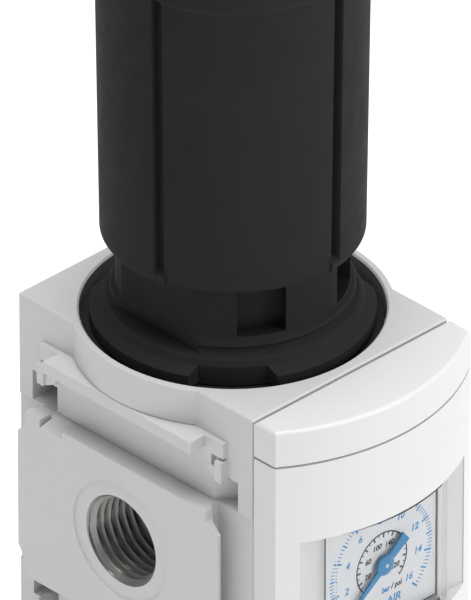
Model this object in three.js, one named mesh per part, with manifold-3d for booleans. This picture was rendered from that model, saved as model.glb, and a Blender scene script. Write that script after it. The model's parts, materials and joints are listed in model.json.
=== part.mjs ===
// Compressed-air pressure regulator with a built-in gauge, in millimetres.
// +Z is up along the knob's axis and the origin is at the centre of the foot. The gauge looks along -Y,
// and the two threaded ports open along -X and +X.

import * as THREE from 'three';
import { mergeVertices } from 'three/addons/utils/BufferGeometryUtils.js';
import Module from 'manifold-3d';

const wasm = await Module();
wasm.setup();

// ---- Driving dimensions ----

const GAP = 0.3; // between pieces that touch
const FOOT_HEIGHT = 6.8; // from the floor to the housing's underside

const HOUSING_WIDTH = 36.3; // between the plain side walls, along the ports
const HOUSING_HEIGHT = 57.2;
const BAND_HEIGHT = 15.7; // the blocks at the top and bottom of the side walls
const BAND_STEP = 0.2; // how far the wall between them is set in

const WELL_RADIUS = 20.44; // the round opening that the bonnet stands in
const WELL_DEPTH = 4.5;
const WELL_WALL = 1.76; // least wall between the well and the housing's front and back
const COLLAR_WALL = 1.16; // the round bulge at the top of each side wall, outside the well
const COLLAR_HEIGHT = 5.5;

const RAIL_REACH = 3.55; // clamp rail, out from the side wall
const RAIL_HALF_LENGTH = 14;
const RAIL_THICKNESS = 1.9;
const LINK_REACH = 0.75; // web and links between a rail and its hook, out from the side wall
const LINK_THICKNESS = 1.6;
const WEB_WIDTH = 1;
const HOOK_END = 17.5; // the far end of the hook beyond each rail
const HOOK_REACH = 1.25;
const HOOK_WIDTH = 1.3;
const HOOK_HEIGHT = 3.2;
const HOOK_DROP = 6; // from the rail's upper face to the hook's lower end
const POCKET_END = 19.5; // blind pocket beside and below each hook
const POCKET_DEPTH = 3;
const POCKET_TOP = 10.9;
const POCKET_BOTTOM = 15.5;
const POCKET_STEP = 0.7; // how much lower the pocket starts below the hook

const PAD_REACH = 2.85; // port pad, out from the side wall
const PAD_TOP = 15.6; // below the housing's top
const PAD_BOTTOM = 41.6;
const PAD_FRONT = 16.2; // the flat face, towards the gauge
const PAD_REAR = 18.1;
const PAD_LIP = 1.87; // the bevelled lip beside the flat face
const PAD_BEVEL = 0.43;
const PAD_LIP_THICKNESS = 0.67;
const PAD_FILLET = 0.9; // between a lip's underside and the pad's end wall
const PAD_END_INSET = 0.6; // how far the end wall lies inside the flat face
const PAD_LIP_START = 1.6; // where a lip's cut corner begins, in from the pad's end

const PORT_DROP = 27.8; // port axis below the housing's top
const PORT_THREAD_RADIUS = 5.9;
const PORT_MOUTH_RADIUS = 6.63;
const PORT_DEPTH = 11.5;
const PORT_SPOT_RADIUS = 8.8;
const PORT_SPOT_DEPTH = 0.25;
const PORT_WAY_RADIUS = 2.4; // between a port and the valve's chamber

const COVER_SIDE = 4.2; // straight side of the front cover, front to back
const COVER_CROWN = 5.8; // rise of its arched front
const COVER_WALL = 2;
const COVER_ROOF = 1.2; // the cover's top wall, under the lid
const LID_ROOF = 1.6;
const LID_HEIGHT = 5.5;
const WINDOW_HALF_WIDTH = 15.3;
const WINDOW_TOP = 17.6;
const WINDOW_BOTTOM = 37.7;
const WINDOW_FLAT = 1.65; // flats on each side of the gauge, in front of the cover's corners

const GAUGE_HALF_WIDTH = 10.4;
const CASE_WALL = 0.9;
const DIAL_STANDOFF = 5.8; // dial face in front of the housing
const DIAL_THICKNESS = 0.5;
const NEEDLE_STANDOFF = 0.6; // needle's back, in front of the dial
const NEEDLE_THICKNESS = 0.4;
const NEEDLE_LENGTH = 8.2;
const NEEDLE_TAIL = 4.9;
const NEEDLE_HUB_RADIUS = 1.5;
const NEEDLE_REST = 217; // direction at the stop pin, anticlockwise from +X as the dial is read
const NEEDLE_SWEEP = 262;
const SECTOR_RATIO = 10; // turns of the needle for one of the toothed sector
const SECTOR_ARM = 4; // from the needle's axis down to the sector's
const SECTOR_THICKNESS = 0.8;
const SECTOR_HALF_ANGLE = 26; // degrees
const SECTOR_POST_RADIUS = 0.5;
const MOVEMENT_RADIUS = 5.2; // the plate that carries the sector's post
const BOURDON_INNER = 6; // the curved pressure tube
const BOURDON_OUTER = 6.9;
const BOURDON_DEPTH = 2;
const NEEDLE_SHAFT_RADIUS = 0.5;
const LENS_RISE = 2; // lens front before the dial
const LENS_WALL = 0.6;

const NECK_RADIUS = 15.6; // bonnet, below the knob
const NECK_RELIEF = 0.6; // how much narrower the bonnet is inside the knob
const BONNET_WALL = 4.2;
const BONNET_MOUTH = 13.2; // radius of the room round the diaphragm's plate
const FLANGE_MARGIN = 1.24; // between the bonnet's flange and the well
const BONNET_HEIGHT = 46; // above the housing's top
const BONNET_ROOF = 3.6;
// The cone and bead at the neck's foot: out from the neck, and up from the housing's top.
const NECK_BEAD = [[1.65, 2.2], [1.2, 2.55], [0.6, 2.8], [0.45, 3.3], [0.75, 3.8], [0.55, 4.3], [0, 4.7]];
const NECK_FLAT_DEPTH = 1.4; // of the flat on each side of the neck
const NECK_FLAT_START = 2.5;
const NECK_WINDOW_HALF = 3.35;
const NECK_WINDOW_SILL = 4.9;
const NECK_WINDOW_TOP = 14;
const NECK_WINDOW_DEPTH = 2.6;
const NOTCH_ANGLE = 105.6; // first of the three spanner notches
const NOTCH_DEPTH = 1.6;

const KNOB_BOTTOM = 12.5; // above the housing's top
const KNOB_HEIGHT = 50;
const KNOB_PLAY = 0.5; // between the knob's bore and the neck
const KNOB_WALL = 1.57; // at its bottom
const KNOB_DRAFT = 0.0124; // growth of the radius per millimetre upwards
const KNOB_ROOF = 3;
const KNOB_PANEL_ANGLE = 54; // middle of one recessed grip panel
const KNOB_PANEL_HALF = 42;
const KNOB_PANEL_DEPTH = 0.35;
const KNOB_PANEL_HEIGHT = 43.7;
const KNOB_GROOVE_DEPTH = 1.2;
const KNOB_GROOVE_HALF = 2; // degrees
const KNOB_RIM = 0.8; // chamfer at the knob's mouth
const KNOB_LIFT = 3.5;
const DETENT_WIRE = 1; // the spring ring between the neck and the knob
const DETENT_RISE = 7.5; // above the knob's bottom
const DETENT_GROOVE_DEPTH = 0.7;
const CAP_RADIUS = 12; // round cap let into the knob's top
const CAP_THICKNESS = 1.2;

const SPINDLE_RADIUS = 3.8;
const SPINDLE_NECK_STEP = 1.2; // how much thicker the spindle is in the bonnet's roof
const SPINDLE_HEX = 7; // across the flats
const SPINDLE_COLLAR_STEP = 2.5;
const COLLAR_THICKNESS = 1.9;
const SPINDLE_CHAMFER = 0.8;
const CLIP_THICKNESS = 1; // spring clip above the bonnet's roof
const CLIP_REACH = 2.2;
const WASHER_THICKNESS = 0.9; // thrust washer above the spindle's collar
const WASHER_PLAY = 1.8; // to the bonnet's bore
const THREAD_PITCH = 1.5;
const SPINDLE_TURNS = 4.75;

const MAIN_WIRE = 2.4;
const MAIN_SPRING_PLAY = 1.4; // to the bonnet's bore
const NUT_THICKNESS = 4.4;
const NUT_KEY_REACH = 1.6;
const NUT_KEY_HALF = 1.5;
const PLATE_MARGIN = 2.2; // between the diaphragm's plate and the bonnet's mouth
const PLATE_THICKNESS = 1.5;
const CLAMP_THICKNESS = 1.2;
const DIAPHRAGM_THICKNESS = 1;
const DIAPHRAGM_MARGIN = 1.94; // between its edge and the well
const HUB_RADIUS = 2.6; // the plate's boss through the diaphragm
const CHAMBER_MARGIN = 1.3; // how much wider the chamber below is than the bonnet's mouth
const CHAMBER_DEPTH = 9;
const DIAPHRAGM_WASHER_RADIUS = 8;

const STEM_RADIUS = 1.5;
const GUIDE_WALL = 1.6;
const GUIDE_LENGTH = 4;
const SEAL_THICKNESS = 1.2; // the valve's rubber
const DISC_THICKNESS = 2.5; // the disc under it
const DISC_MARGIN = 0.6; // past the seat
const VALVE_CHAMBER_RADIUS = 8;
const SEAT_TOP = 25; // the partition between the two ports, below the housing's top
const SEAT_BOTTOM = 28;
const SEAT_CLEARANCE = 1.7; // air way between the stem and the seat's bore
const SEAT_WALL = 1.8;
const VALVE_STROKE = 1.5;
const VALVE_WIRE = 0.8;
const VALVE_SPRING_PLAY = 1.5; // between the stem and the wire
const PLUG_STEP = 1.7; // how much wider the plug is than the chamber above it
const PLUG_TOP = 44;
const PLUG_CUP_PLAY = 1; // between the valve spring and its cup
const PLUG_CUP_DEPTH = 6;
const FOOT_FLANGE = 5.8; // the foot's flange, out from the plug
const FOOT_CHAMFER = 0.8;
const FOOT_FLAT_DEPTH = 1.6; // two flats for a spanner
const FOOT_FLAT_HALF = 12;
const FOOT_FLAT_SILL = 1.8;
const PLUG_SEAL_WIRE = 0.75;
const PLUG_SEAL_DROP = 3.2; // below the plug's top

const GAUGE_SOCKET_RADIUS = 3.3;
const GAUGE_SOCKET_DEPTH = 8;
const GAUGE_SEAL_WIRE = 0.4;
const STEM_BORE_RADIUS = 0.7;
const GAUGE_WAY_RADIUS = 1.2;
const REAR_PORT_RADIUS = 4.6;
const REAR_PORT_DEPTH = 8;
const REAR_SEAL_WIRE = 0.3;
const REAR_KEY = 4; // across the flats of the stopper's hexagon socket
const REAR_HEAD_STEP = 1.6;
const REAR_HEAD_DEPTH = 1.8;
const SCREW_HOLE_RADIUS = 1.2;
const BALANCE_HOLE_RADIUS = 0.8; // from the outlet chamber up to the diaphragm

// ---- Places worked out from them ----

const HOUSING_DEPTH = 2 * (WELL_RADIUS + WELL_WALL);
const COLLAR_RADIUS = WELL_RADIUS + COLLAR_WALL;
const BONNET_FLANGE_RADIUS = WELL_RADIUS - FLANGE_MARGIN;
const NOTCH_FLOOR = BONNET_FLANGE_RADIUS - NOTCH_DEPTH;
const NECK_TOP_RADIUS = NECK_RADIUS - NECK_RELIEF;
const NECK_FLAT = NECK_RADIUS - NECK_FLAT_DEPTH;
const NECK_WINDOW_FLOOR = NECK_RADIUS - NECK_WINDOW_DEPTH;
const BONNET_BORE = NECK_TOP_RADIUS - BONNET_WALL;
const KNOB_BORE = NECK_RADIUS + KNOB_PLAY;
const KNOB_BOTTOM_RADIUS = KNOB_BORE + KNOB_WALL;
const SPINDLE_NECK_RADIUS = SPINDLE_RADIUS + SPINDLE_NECK_STEP;
const MAIN_SPRING_RADIUS = BONNET_BORE - MAIN_SPRING_PLAY - MAIN_WIRE / 2;
const PLATE_RADIUS = BONNET_MOUTH - PLATE_MARGIN;
const DIAPHRAGM_RADIUS = WELL_RADIUS - DIAPHRAGM_MARGIN;
const CHAMBER_RADIUS = BONNET_MOUTH + CHAMBER_MARGIN;
const GUIDE_RADIUS = STEM_RADIUS + GAP + GUIDE_WALL;
const SEAT_BORE = STEM_RADIUS + SEAT_CLEARANCE;
const SEAT_RADIUS = SEAT_BORE + SEAT_WALL;
const VALVE_SPRING_RADIUS = STEM_RADIUS + VALVE_SPRING_PLAY + VALVE_WIRE / 2;
const PLUG_RADIUS = VALVE_CHAMBER_RADIUS + PLUG_STEP;
const PLUG_CUP_RADIUS = VALVE_SPRING_RADIUS + VALVE_WIRE / 2 + PLUG_CUP_PLAY;
const FOOT_RADIUS = PLUG_RADIUS + FOOT_FLANGE;

const BASE = FOOT_HEIGHT;
const TOP = BASE + HOUSING_HEIGHT;
const SIDE = HOUSING_WIDTH / 2;
const FRONT = -HOUSING_DEPTH / 2;
const BACK = HOUSING_DEPTH / 2;
const PORT_Z = TOP - PORT_DROP;
const PAD_FACE = SIDE + PAD_REACH;
const COVER_BACK = FRONT - GAP;
const COVER_CORNER = FRONT - COVER_SIDE;
const GAUGE_Z = TOP - (WINDOW_TOP + WINDOW_BOTTOM) / 2;
const GAUGE_HALF_HEIGHT = (WINDOW_BOTTOM - WINDOW_TOP) / 2 - GAP;
const DIAL_FACE = FRONT - DIAL_STANDOFF;
const CASE_BACK = FRONT - GAP;
const CASE_FRONT = DIAL_FACE + DIAL_THICKNESS + GAP;
const NEEDLE_BACK = DIAL_FACE - NEEDLE_STANDOFF;
const SECTOR_BACK = DIAL_FACE + 2;
const GAUGE_SEAL_RADIUS = GAUGE_SOCKET_RADIUS - GAP - GAUGE_SEAL_WIRE;
const MOVEMENT_BACK = DIAL_FACE + 3.8;

const DIAPHRAGM_Z = TOP - WELL_DEPTH + GAP;
const CLAMP_Z = DIAPHRAGM_Z + DIAPHRAGM_THICKNESS + GAP;
const BONNET_Z = CLAMP_Z + CLAMP_THICKNESS + GAP;
const PLATE_Z = CLAMP_Z;
const BONNET_TOP = TOP + BONNET_HEIGHT;
const BONNET_CEILING = BONNET_TOP - BONNET_ROOF;
const COLLAR_Z = BONNET_CEILING - GAP - WASHER_THICKNESS - GAP - COLLAR_THICKNESS;
const NUT_Z = COLLAR_Z - 1 - NUT_THICKNESS;
const NUT_TRAVEL = THREAD_PITCH * SPINDLE_TURNS;
const SPINDLE_FOOT = NUT_Z - NUT_TRAVEL - 2 * THREAD_PITCH;
const NECK_STEP_Z = TOP + KNOB_BOTTOM + KNOB_LIFT;
const DETENT_GROOVE = NECK_TOP_RADIUS - DETENT_GROOVE_DEPTH;
const DETENT_Z = TOP + KNOB_BOTTOM + DETENT_RISE;
const KNOB_Z = TOP + KNOB_BOTTOM;
const KNOB_TOP = KNOB_Z + KNOB_HEIGHT;
const CLIP_Z = BONNET_TOP + GAP;
const HUB_Z = CLIP_Z + CLIP_THICKNESS + 1.2;
const SPINDLE_TOP = KNOB_TOP - KNOB_ROOF - 2;
const HUB_TIP_Z = DIAPHRAGM_Z - 2.4;
const STEM_TOP = HUB_TIP_Z - GAP;
const SEAT_LIP_Z = TOP - SEAT_BOTTOM - GAP;
const RUBBER_Z = SEAT_LIP_Z - GAP - SEAL_THICKNESS;
const DISC_Z = RUBBER_Z - GAP - DISC_THICKNESS;
const STEM_FOOT = DISC_Z - VALVE_STROKE - 2.5;
const PLUG_TOP_Z = TOP - PLUG_TOP;
const CUP_Z = PLUG_TOP_Z - PLUG_CUP_DEPTH;

// ---- Solids ----

const radians = THREE.MathUtils.degToRad;

/** A three.js geometry as a manifold solid: corners merged, collapsed faces dropped, faces outward. */
function solid(geometry) {
  geometry.deleteAttribute('normal');
  geometry.deleteAttribute('uv');
  const merged = mergeVertices(geometry, 1e-4);
  const points = merged.getAttribute('position');
  const faces = [];
  let volume = 0;
  const [a, b, c] = [new THREE.Vector3(), new THREE.Vector3(), new THREE.Vector3()];
  for (let i = 0; i < merged.index.count; i += 3) {
    const [p, q, r] = [0, 1, 2].map((k) => merged.index.getX(i + k));
    if (p === q || q === r || r === p) continue;
    faces.push([p, q, r]);
    a.fromBufferAttribute(points, p);
    b.fromBufferAttribute(points, q);
    c.fromBufferAttribute(points, r);
    volume += a.dot(b.cross(c));
  }
  const outward = volume > 0 ? faces : faces.map(([p, q, r]) => [p, r, q]);
  return new wasm.Manifold(
    new wasm.Mesh({
      numProp: 3,
      vertProperties: new Float32Array(points.array),
      triVerts: new Uint32Array(outward.flat()),
    }),
  );
}

function box(x0, x1, y0, y1, z0, z1) {
  const block = new THREE.BoxGeometry(Math.abs(x1 - x0), Math.abs(y1 - y0), Math.abs(z1 - z0));
  return solid(block.translate((x0 + x1) / 2, (y0 + y1) / 2, (z0 + z1) / 2));
}

/** A round bar along Z, a cone if the second radius differs. */
function bar(radius, z0, z1, { x = 0, y = 0, sides = 28, endRadius = radius } = {}) {
  const round = new THREE.CylinderGeometry(endRadius, radius, z1 - z0, sides);
  return solid(round.rotateX(Math.PI / 2).translate(x, y, (z0 + z1) / 2));
}

/** A round bar along X from x0 towards x1. */
function barX(radius, x0, x1, y, z, { sides = 24, endRadius = radius } = {}) {
  const round = new THREE.CylinderGeometry(endRadius, radius, Math.abs(x1 - x0), sides);
  const turn = x1 > x0 ? -Math.PI / 2 : Math.PI / 2;
  return solid(round.rotateZ(turn).translate((x0 + x1) / 2, y, z));
}

/** A round bar along Y. */
function barY(radius, y0, y1, x, z, sides = 16) {
  const round = new THREE.CylinderGeometry(radius, radius, Math.abs(y1 - y0), sides);
  return solid(round.translate(x, (y0 + y1) / 2, z));
}

function outline(points) {
  return new THREE.Shape(points.map(([x, y]) => new THREE.Vector2(x, y)));
}

/** A plan outline, or a list of its corners, raised from z0 to z1. */
function prism(shape, z0, z1, curveSegments = 12) {
  const plan = Array.isArray(shape) ? outline(shape) : shape;
  const raised = new THREE.ExtrudeGeometry(plan, { depth: z1 - z0, bevelEnabled: false, curveSegments });
  return solid(raised.translate(0, 0, z0));
}

/** Corners in Y and Z, drawn out along X. */
function prismX(corners, x0, x1) {
  const drawn = new THREE.ExtrudeGeometry(outline(corners), { depth: x1 - x0, bevelEnabled: false });
  return solid(drawn.rotateX(Math.PI / 2).rotateZ(Math.PI / 2).translate(x0, 0, 0));
}

/** Corners in X and Z, drawn out along Y. */
function prismY(corners, y0, y1) {
  const drawn = new THREE.ExtrudeGeometry(outline(corners), { depth: y1 - y0, bevelEnabled: false });
  return solid(drawn.rotateX(Math.PI / 2).translate(0, y1, 0));
}

/** A turned piece from corners of radius and height. A profile off the axis is closed on itself. */
function turned(corners, sides = 28) {
  const closed = corners[0][0] === 0 ? corners : [...corners, corners[0]];
  const profile = closed.map(([r, z]) => new THREE.Vector2(r, z));
  return solid(new THREE.LatheGeometry(profile, sides).rotateX(Math.PI / 2));
}

function ring(inner, outer, z0, z1, sides = 28) {
  return turned([[inner, z0], [outer, z0], [outer, z1], [inner, z1]], sides);
}

/** A ring of round wire about Z, given its wire's radius. */
function wireRing(radius, wire, z = 0) {
  return solid(new THREE.TorusGeometry(radius, wire, 6, 20).translate(0, 0, z));
}

/** The plan outline of a ring segment, angles in degrees. */
function segment(inner, outer, from, to) {
  const shape = new THREE.Shape();
  shape.absarc(0, 0, outer, radians(from), radians(to), false);
  shape.absarc(0, 0, inner, radians(to), radians(from), true);
  return shape;
}

/** A hexagonal bar along Z, by the width across its flats. */
function hexagon(acrossFlats, z0, z1) {
  return bar(acrossFlats / Math.sqrt(3), z0, z1, { sides: 6 });
}

class Helix extends THREE.Curve {
  constructor(radius, z0, z1, turns) {
    super();
    Object.assign(this, { radius, z0, z1, turns });
  }

  getPoint(t, target = new THREE.Vector3()) {
    const angle = 2 * Math.PI * this.turns * t;
    const z = THREE.MathUtils.lerp(this.z0, this.z1, t);
    return target.set(this.radius * Math.cos(angle), this.radius * Math.sin(angle), z);
  }
}

/** A coil spring of round wire that stands between z0 and z1. */
function spring(radius, wire, z0, z1, turns) {
  const coil = new Helix(radius, z0 + wire / 2, z1 - wire / 2, turns);
  const section = new THREE.Shape().absarc(0, 0, wire / 2, 0, 2 * Math.PI);
  const steps = Math.round(turns * 9);
  const wound = new THREE.ExtrudeGeometry(section, { extrudePath: coil, steps, curveSegments: 3 });
  return solid(wound);
}

// ---- Housing ----

/** A clamp rail with its end hooks, on one side wall at one end of the housing. */
function clampRail(side, place) {
  const inside = side * (SIDE - 1);
  const out = (reach) => side * (SIDE + reach);
  const z = (drop) => place(COLLAR_HEIGHT + drop);
  let rail = box(inside, out(RAIL_REACH), -RAIL_HALF_LENGTH, RAIL_HALF_LENGTH, z(0), z(RAIL_THICKNESS));
  for (const end of [-1, 1]) {
    const start = end * RAIL_HALF_LENGTH;
    const webEnd = end * (RAIL_HALF_LENGTH + WEB_WIDTH);
    const hookStart = end * (HOOK_END - HOOK_WIDTH);
    const hookEnd = end * HOOK_END;
    const linkTop = z(HOOK_DROP - LINK_THICKNESS);
    rail = rail
      .add(box(inside, out(LINK_REACH), start - end, hookEnd, z(0), z(RAIL_THICKNESS + 0.5)))
      .add(box(inside, out(LINK_REACH), start, webEnd, z(0), z(HOOK_DROP - LINK_THICKNESS / 2)))
      .add(box(inside, out(LINK_REACH), start, hookEnd, linkTop, z(HOOK_DROP)))
      .add(box(inside, out(HOOK_REACH), hookStart, hookEnd, z(HOOK_DROP - HOOK_HEIGHT), z(HOOK_DROP)));
  }
  return rail;
}

/** The blind pockets beside the hooks of a clamp rail. */
function clampPockets(side, place) {
  const inside = side * (SIDE - POCKET_DEPTH);
  const outside = side * (SIDE + 0.5);
  const floor = place(POCKET_BOTTOM);
  let pockets = null;
  for (const end of [-1, 1]) {
    const far = end * POCKET_END;
    const upright = box(inside, outside, end * HOOK_END, far, place(POCKET_TOP), floor);
    const under = box(inside, outside, end * (HOOK_END - 1.5), far, place(POCKET_TOP + POCKET_STEP), floor);
    const pair = upright.add(under);
    pockets = pockets ? pockets.add(pair) : pair;
  }
  return pockets;
}

/** The raised port pad on one side wall, with its bevelled lips. */
function portPad(side) {
  const top = TOP - PAD_TOP;
  const bottom = TOP - PAD_BOTTOM;
  const root = SIDE - 1;
  const bevel = PAD_FACE - PAD_BEVEL;
  const lipRoot = bevel - PAD_LIP_THICKNESS;
  const [frontLip, rearLip] = [-PAD_FRONT - PAD_LIP, PAD_REAR + PAD_LIP];
  const [frontWall, rearWall] = [-PAD_FRONT + PAD_END_INSET, PAD_REAR - PAD_END_INSET];
  const plan = [
    [root, frontWall], [lipRoot - PAD_FILLET, frontWall], [lipRoot, frontWall - PAD_FILLET],
    [lipRoot, frontLip], [bevel, frontLip], [PAD_FACE, -PAD_FRONT],
    [PAD_FACE, PAD_REAR], [bevel, rearLip], [lipRoot, rearLip],
    [lipRoot, rearWall + PAD_FILLET], [lipRoot - PAD_FILLET, rearWall], [root, rearWall],
  ];
  const start = PAD_LIP_START;
  const full = PAD_LIP_START + PAD_LIP;
  const face = [
    [-PAD_FRONT, top], [-PAD_FRONT, top - start], [frontLip, top - full],
    [frontLip, bottom + full], [-PAD_FRONT, bottom + start], [-PAD_FRONT, bottom],
    [PAD_REAR, bottom], [PAD_REAR, bottom + start], [rearLip, bottom + full],
    [rearLip, top - full], [PAD_REAR, top - start], [PAD_REAR, top],
  ];
  const turnedPlan = plan.map(([x, y]) => [side * x, y]);
  const reach = side > 0 ? [root, PAD_FACE] : [-PAD_FACE, -root];
  return prism(turnedPlan, bottom, top).intersect(prismX(face, ...reach));
}

/** A threaded port with its shallow spot face and mouth chamfer, as the space that it takes. */
function portSpace(side) {
  const at = (depth) => side * (PAD_FACE + 0.01 - depth);
  const chamfer = PORT_MOUTH_RADIUS - PORT_THREAD_RADIUS;
  const mouth = { endRadius: PORT_THREAD_RADIUS };
  return barX(PORT_SPOT_RADIUS, at(0), at(PORT_SPOT_DEPTH), 0, PORT_Z, { sides: 28 })
    .add(barX(PORT_MOUTH_RADIUS, at(PORT_SPOT_DEPTH), at(PORT_SPOT_DEPTH + chamfer), 0, PORT_Z, mouth))
    .add(barX(PORT_THREAD_RADIUS, at(0), at(PORT_DEPTH), 0, PORT_Z));
}

/** The drilled way from a gauge port in the front or rear wall up to the outlet chamber. */
function gaugeWay(end) {
  const socketEnd = end * (HOUSING_DEPTH / 2 - GAUGE_SOCKET_DEPTH + 1);
  const linkZ = TOP - (CHAMBER_DEPTH + GUIDE_LENGTH + SEAT_TOP) / 2;
  return bar(GAUGE_WAY_RADIUS, GAUGE_Z, linkZ, { y: socketEnd, sides: 12 })
    .add(barY(GAUGE_WAY_RADIUS, socketEnd, end * (VALVE_CHAMBER_RADIUS - 1), 0, linkZ, 12));
}

function housing() {
  const wall = SIDE - BAND_STEP;
  const fromTop = (drop) => TOP - drop;
  const fromBase = (rise) => BASE + rise;
  let body = box(-wall, wall, FRONT, BACK, BASE, TOP)
    .add(box(-SIDE, SIDE, FRONT, BACK, TOP - BAND_HEIGHT, TOP))
    .add(box(-SIDE, SIDE, FRONT, BACK, BASE, BASE + BAND_HEIGHT))
    .add(bar(COLLAR_RADIUS, TOP - COLLAR_HEIGHT, TOP, { sides: 56 }));
  for (const side of [-1, 1]) {
    for (const place of [fromTop, fromBase]) {
      body = body.subtract(clampPockets(side, place)).add(clampRail(side, place));
    }
    body = body.add(portPad(side)).subtract(portSpace(side));
  }
  const inletLink = TOP - SEAT_BOTTOM - PORT_WAY_RADIUS - 0.8;
  const outletLink = TOP - SEAT_TOP + 1;
  const portEnd = PAD_FACE - PORT_DEPTH;
  const guideFoot = TOP - CHAMBER_DEPTH - GUIDE_LENGTH;
  const wayStart = VALVE_CHAMBER_RADIUS - 2;
  const headRadius = REAR_PORT_RADIUS + REAR_HEAD_STEP;
  const balanceHole = { x: (GUIDE_RADIUS + VALVE_CHAMBER_RADIUS) / 2, sides: 12 };
  return body
    .subtract(bar(WELL_RADIUS, TOP - WELL_DEPTH, TOP + 1, { sides: 56 }))
    .subtract(bar(CHAMBER_RADIUS, TOP - CHAMBER_DEPTH, TOP))
    .subtract(bar(GUIDE_RADIUS + GAP, guideFoot - 1, TOP - CHAMBER_DEPTH + 1))
    .subtract(bar(BALANCE_HOLE_RADIUS, guideFoot - 1, TOP - CHAMBER_DEPTH + 1, balanceHole))
    .subtract(bar(VALVE_CHAMBER_RADIUS, TOP - SEAT_TOP, guideFoot))
    .subtract(bar(SEAT_RADIUS + GAP, TOP - SEAT_BOTTOM - 1, TOP - SEAT_TOP + 1))
    .subtract(bar(VALVE_CHAMBER_RADIUS, BASE + 1, TOP - SEAT_BOTTOM))
    .subtract(bar(PLUG_RADIUS + GAP, BASE - 1, PLUG_TOP_Z + GAP))
    .subtract(barX(PORT_WAY_RADIUS, -portEnd - 1, -wayStart, 0, inletLink, { sides: 16 }))
    .subtract(barX(PORT_WAY_RADIUS, wayStart, portEnd + 1, 0, outletLink, { sides: 16 }))
    .subtract(barY(GAUGE_SOCKET_RADIUS, FRONT - 1, FRONT + GAUGE_SOCKET_DEPTH, 0, GAUGE_Z))
    .subtract(barY(REAR_PORT_RADIUS, BACK - REAR_PORT_DEPTH, BACK + 1, 0, GAUGE_Z))
    .subtract(barY(headRadius, BACK - REAR_HEAD_DEPTH, BACK + 1, 0, GAUGE_Z))
    .subtract(gaugeWay(-1))
    .subtract(gaugeWay(1))
    .subtract(screwPlaces().reduce((all, [x, z]) => {
      const hole = barY(SCREW_HOLE_RADIUS, FRONT - 1, FRONT + 6, x, z, 12);
      return all ? all.add(hole) : hole;
    }, null));
}

// ---- Front cover and gauge ----

/** The cover's plan outline, drawn in by an offset: straight sides and an arched front. */
function coverPlan(inset, back) {
  const x = SIDE - inset;
  const radius = (SIDE ** 2 + COVER_CROWN ** 2) / (2 * COVER_CROWN);
  const centre = COVER_CORNER - COVER_CROWN + radius;
  const arc = radius - inset;
  const reach = Math.asin(x / arc);
  const shape = new THREE.Shape();
  shape.moveTo(x, back);
  shape.lineTo(-x, back);
  shape.absarc(0, centre, arc, -Math.PI / 2 - reach, -Math.PI / 2 + reach, false);
  shape.closePath();
  return shape;
}

function frontCover() {
  const top = TOP - LID_HEIGHT - GAP / 2;
  const flat = COVER_CORNER - WINDOW_FLAT;
  const windowTop = TOP - WINDOW_TOP;
  const windowBottom = TOP - WINDOW_BOTTOM;
  const shell = prism(coverPlan(0, COVER_BACK), BASE, top)
    .subtract(prism(coverPlan(COVER_WALL, COVER_BACK + 1), BASE + COVER_WALL, top - COVER_ROOF));
  const inner = GAUGE_HALF_WIDTH + GAP;
  const [left, right] = [-WINDOW_HALF_WIDTH, WINDOW_HALF_WIDTH];
  let framed = shell;
  for (const side of [-1, 1]) {
    const [x0, x1] = [side * inner, side * (SIDE - 1)];
    const block = box(x0, x1, flat + 1.2, -HOUSING_DEPTH, windowBottom - 1.5, windowTop + 1.5);
    framed = framed.add(block.intersect(prism(coverPlan(0, COVER_BACK), BASE, top)));
  }
  return framed.subtract(box(left, right, flat, -HOUSING_DEPTH, windowBottom, windowTop));
}

function coverLid() {
  const bottom = TOP - LID_HEIGHT + GAP / 2;
  return prism(coverPlan(0, COVER_BACK), bottom, TOP)
    .subtract(prism(coverPlan(COVER_WALL, COVER_BACK + 1), bottom - 1, TOP - LID_ROOF));
}

/** The two case screws, at opposite corners of the gauge. */
function screwPlaces() {
  const [x, z] = [GAUGE_HALF_WIDTH - 2.4, GAUGE_HALF_HEIGHT - 2.5];
  return [[-x, GAUGE_Z + z], [x, GAUGE_Z - z]];
}

function gaugeCase() {
  const [w, h] = [GAUGE_HALF_WIDTH, GAUGE_HALF_HEIGHT];
  const hollow = box(
    -w + CASE_WALL, w - CASE_WALL, CASE_BACK - CASE_WALL, CASE_FRONT - 1,
    GAUGE_Z - h + CASE_WALL, GAUGE_Z + h - CASE_WALL,
  );
  let shell = box(-w, w, CASE_FRONT, CASE_BACK, GAUGE_Z - h, GAUGE_Z + h)
    .subtract(hollow)
    .subtract(barY(GAUGE_SOCKET_RADIUS, CASE_BACK + 1, CASE_BACK - 2, 0, GAUGE_Z));
  for (const [x, z] of screwPlaces()) {
    shell = shell.subtract(barY(SCREW_HOLE_RADIUS, CASE_BACK + 1, CASE_BACK - 2, x, z, 12));
  }
  return shell;
}

function gaugeScrew([x, z]) {
  const head = CASE_BACK - CASE_WALL - GAP;
  const shank = SCREW_HOLE_RADIUS - GAP;
  return barY(shank, FRONT + 5, head, x, z, 12).add(barY(shank + 0.3, head + 0.01, head - 0.9, x, z, 12));
}

function gaugeDial() {
  const [w, h] = [GAUGE_HALF_WIDTH - 0.1, GAUGE_HALF_HEIGHT - 0.1];
  return box(-w, w, DIAL_FACE, DIAL_FACE + DIAL_THICKNESS, GAUGE_Z - h, GAUGE_Z + h)
    .subtract(barY(NEEDLE_SHAFT_RADIUS + 0.4, DIAL_FACE - 1, DIAL_FACE + 1, 0, GAUGE_Z, 16));
}

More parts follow.
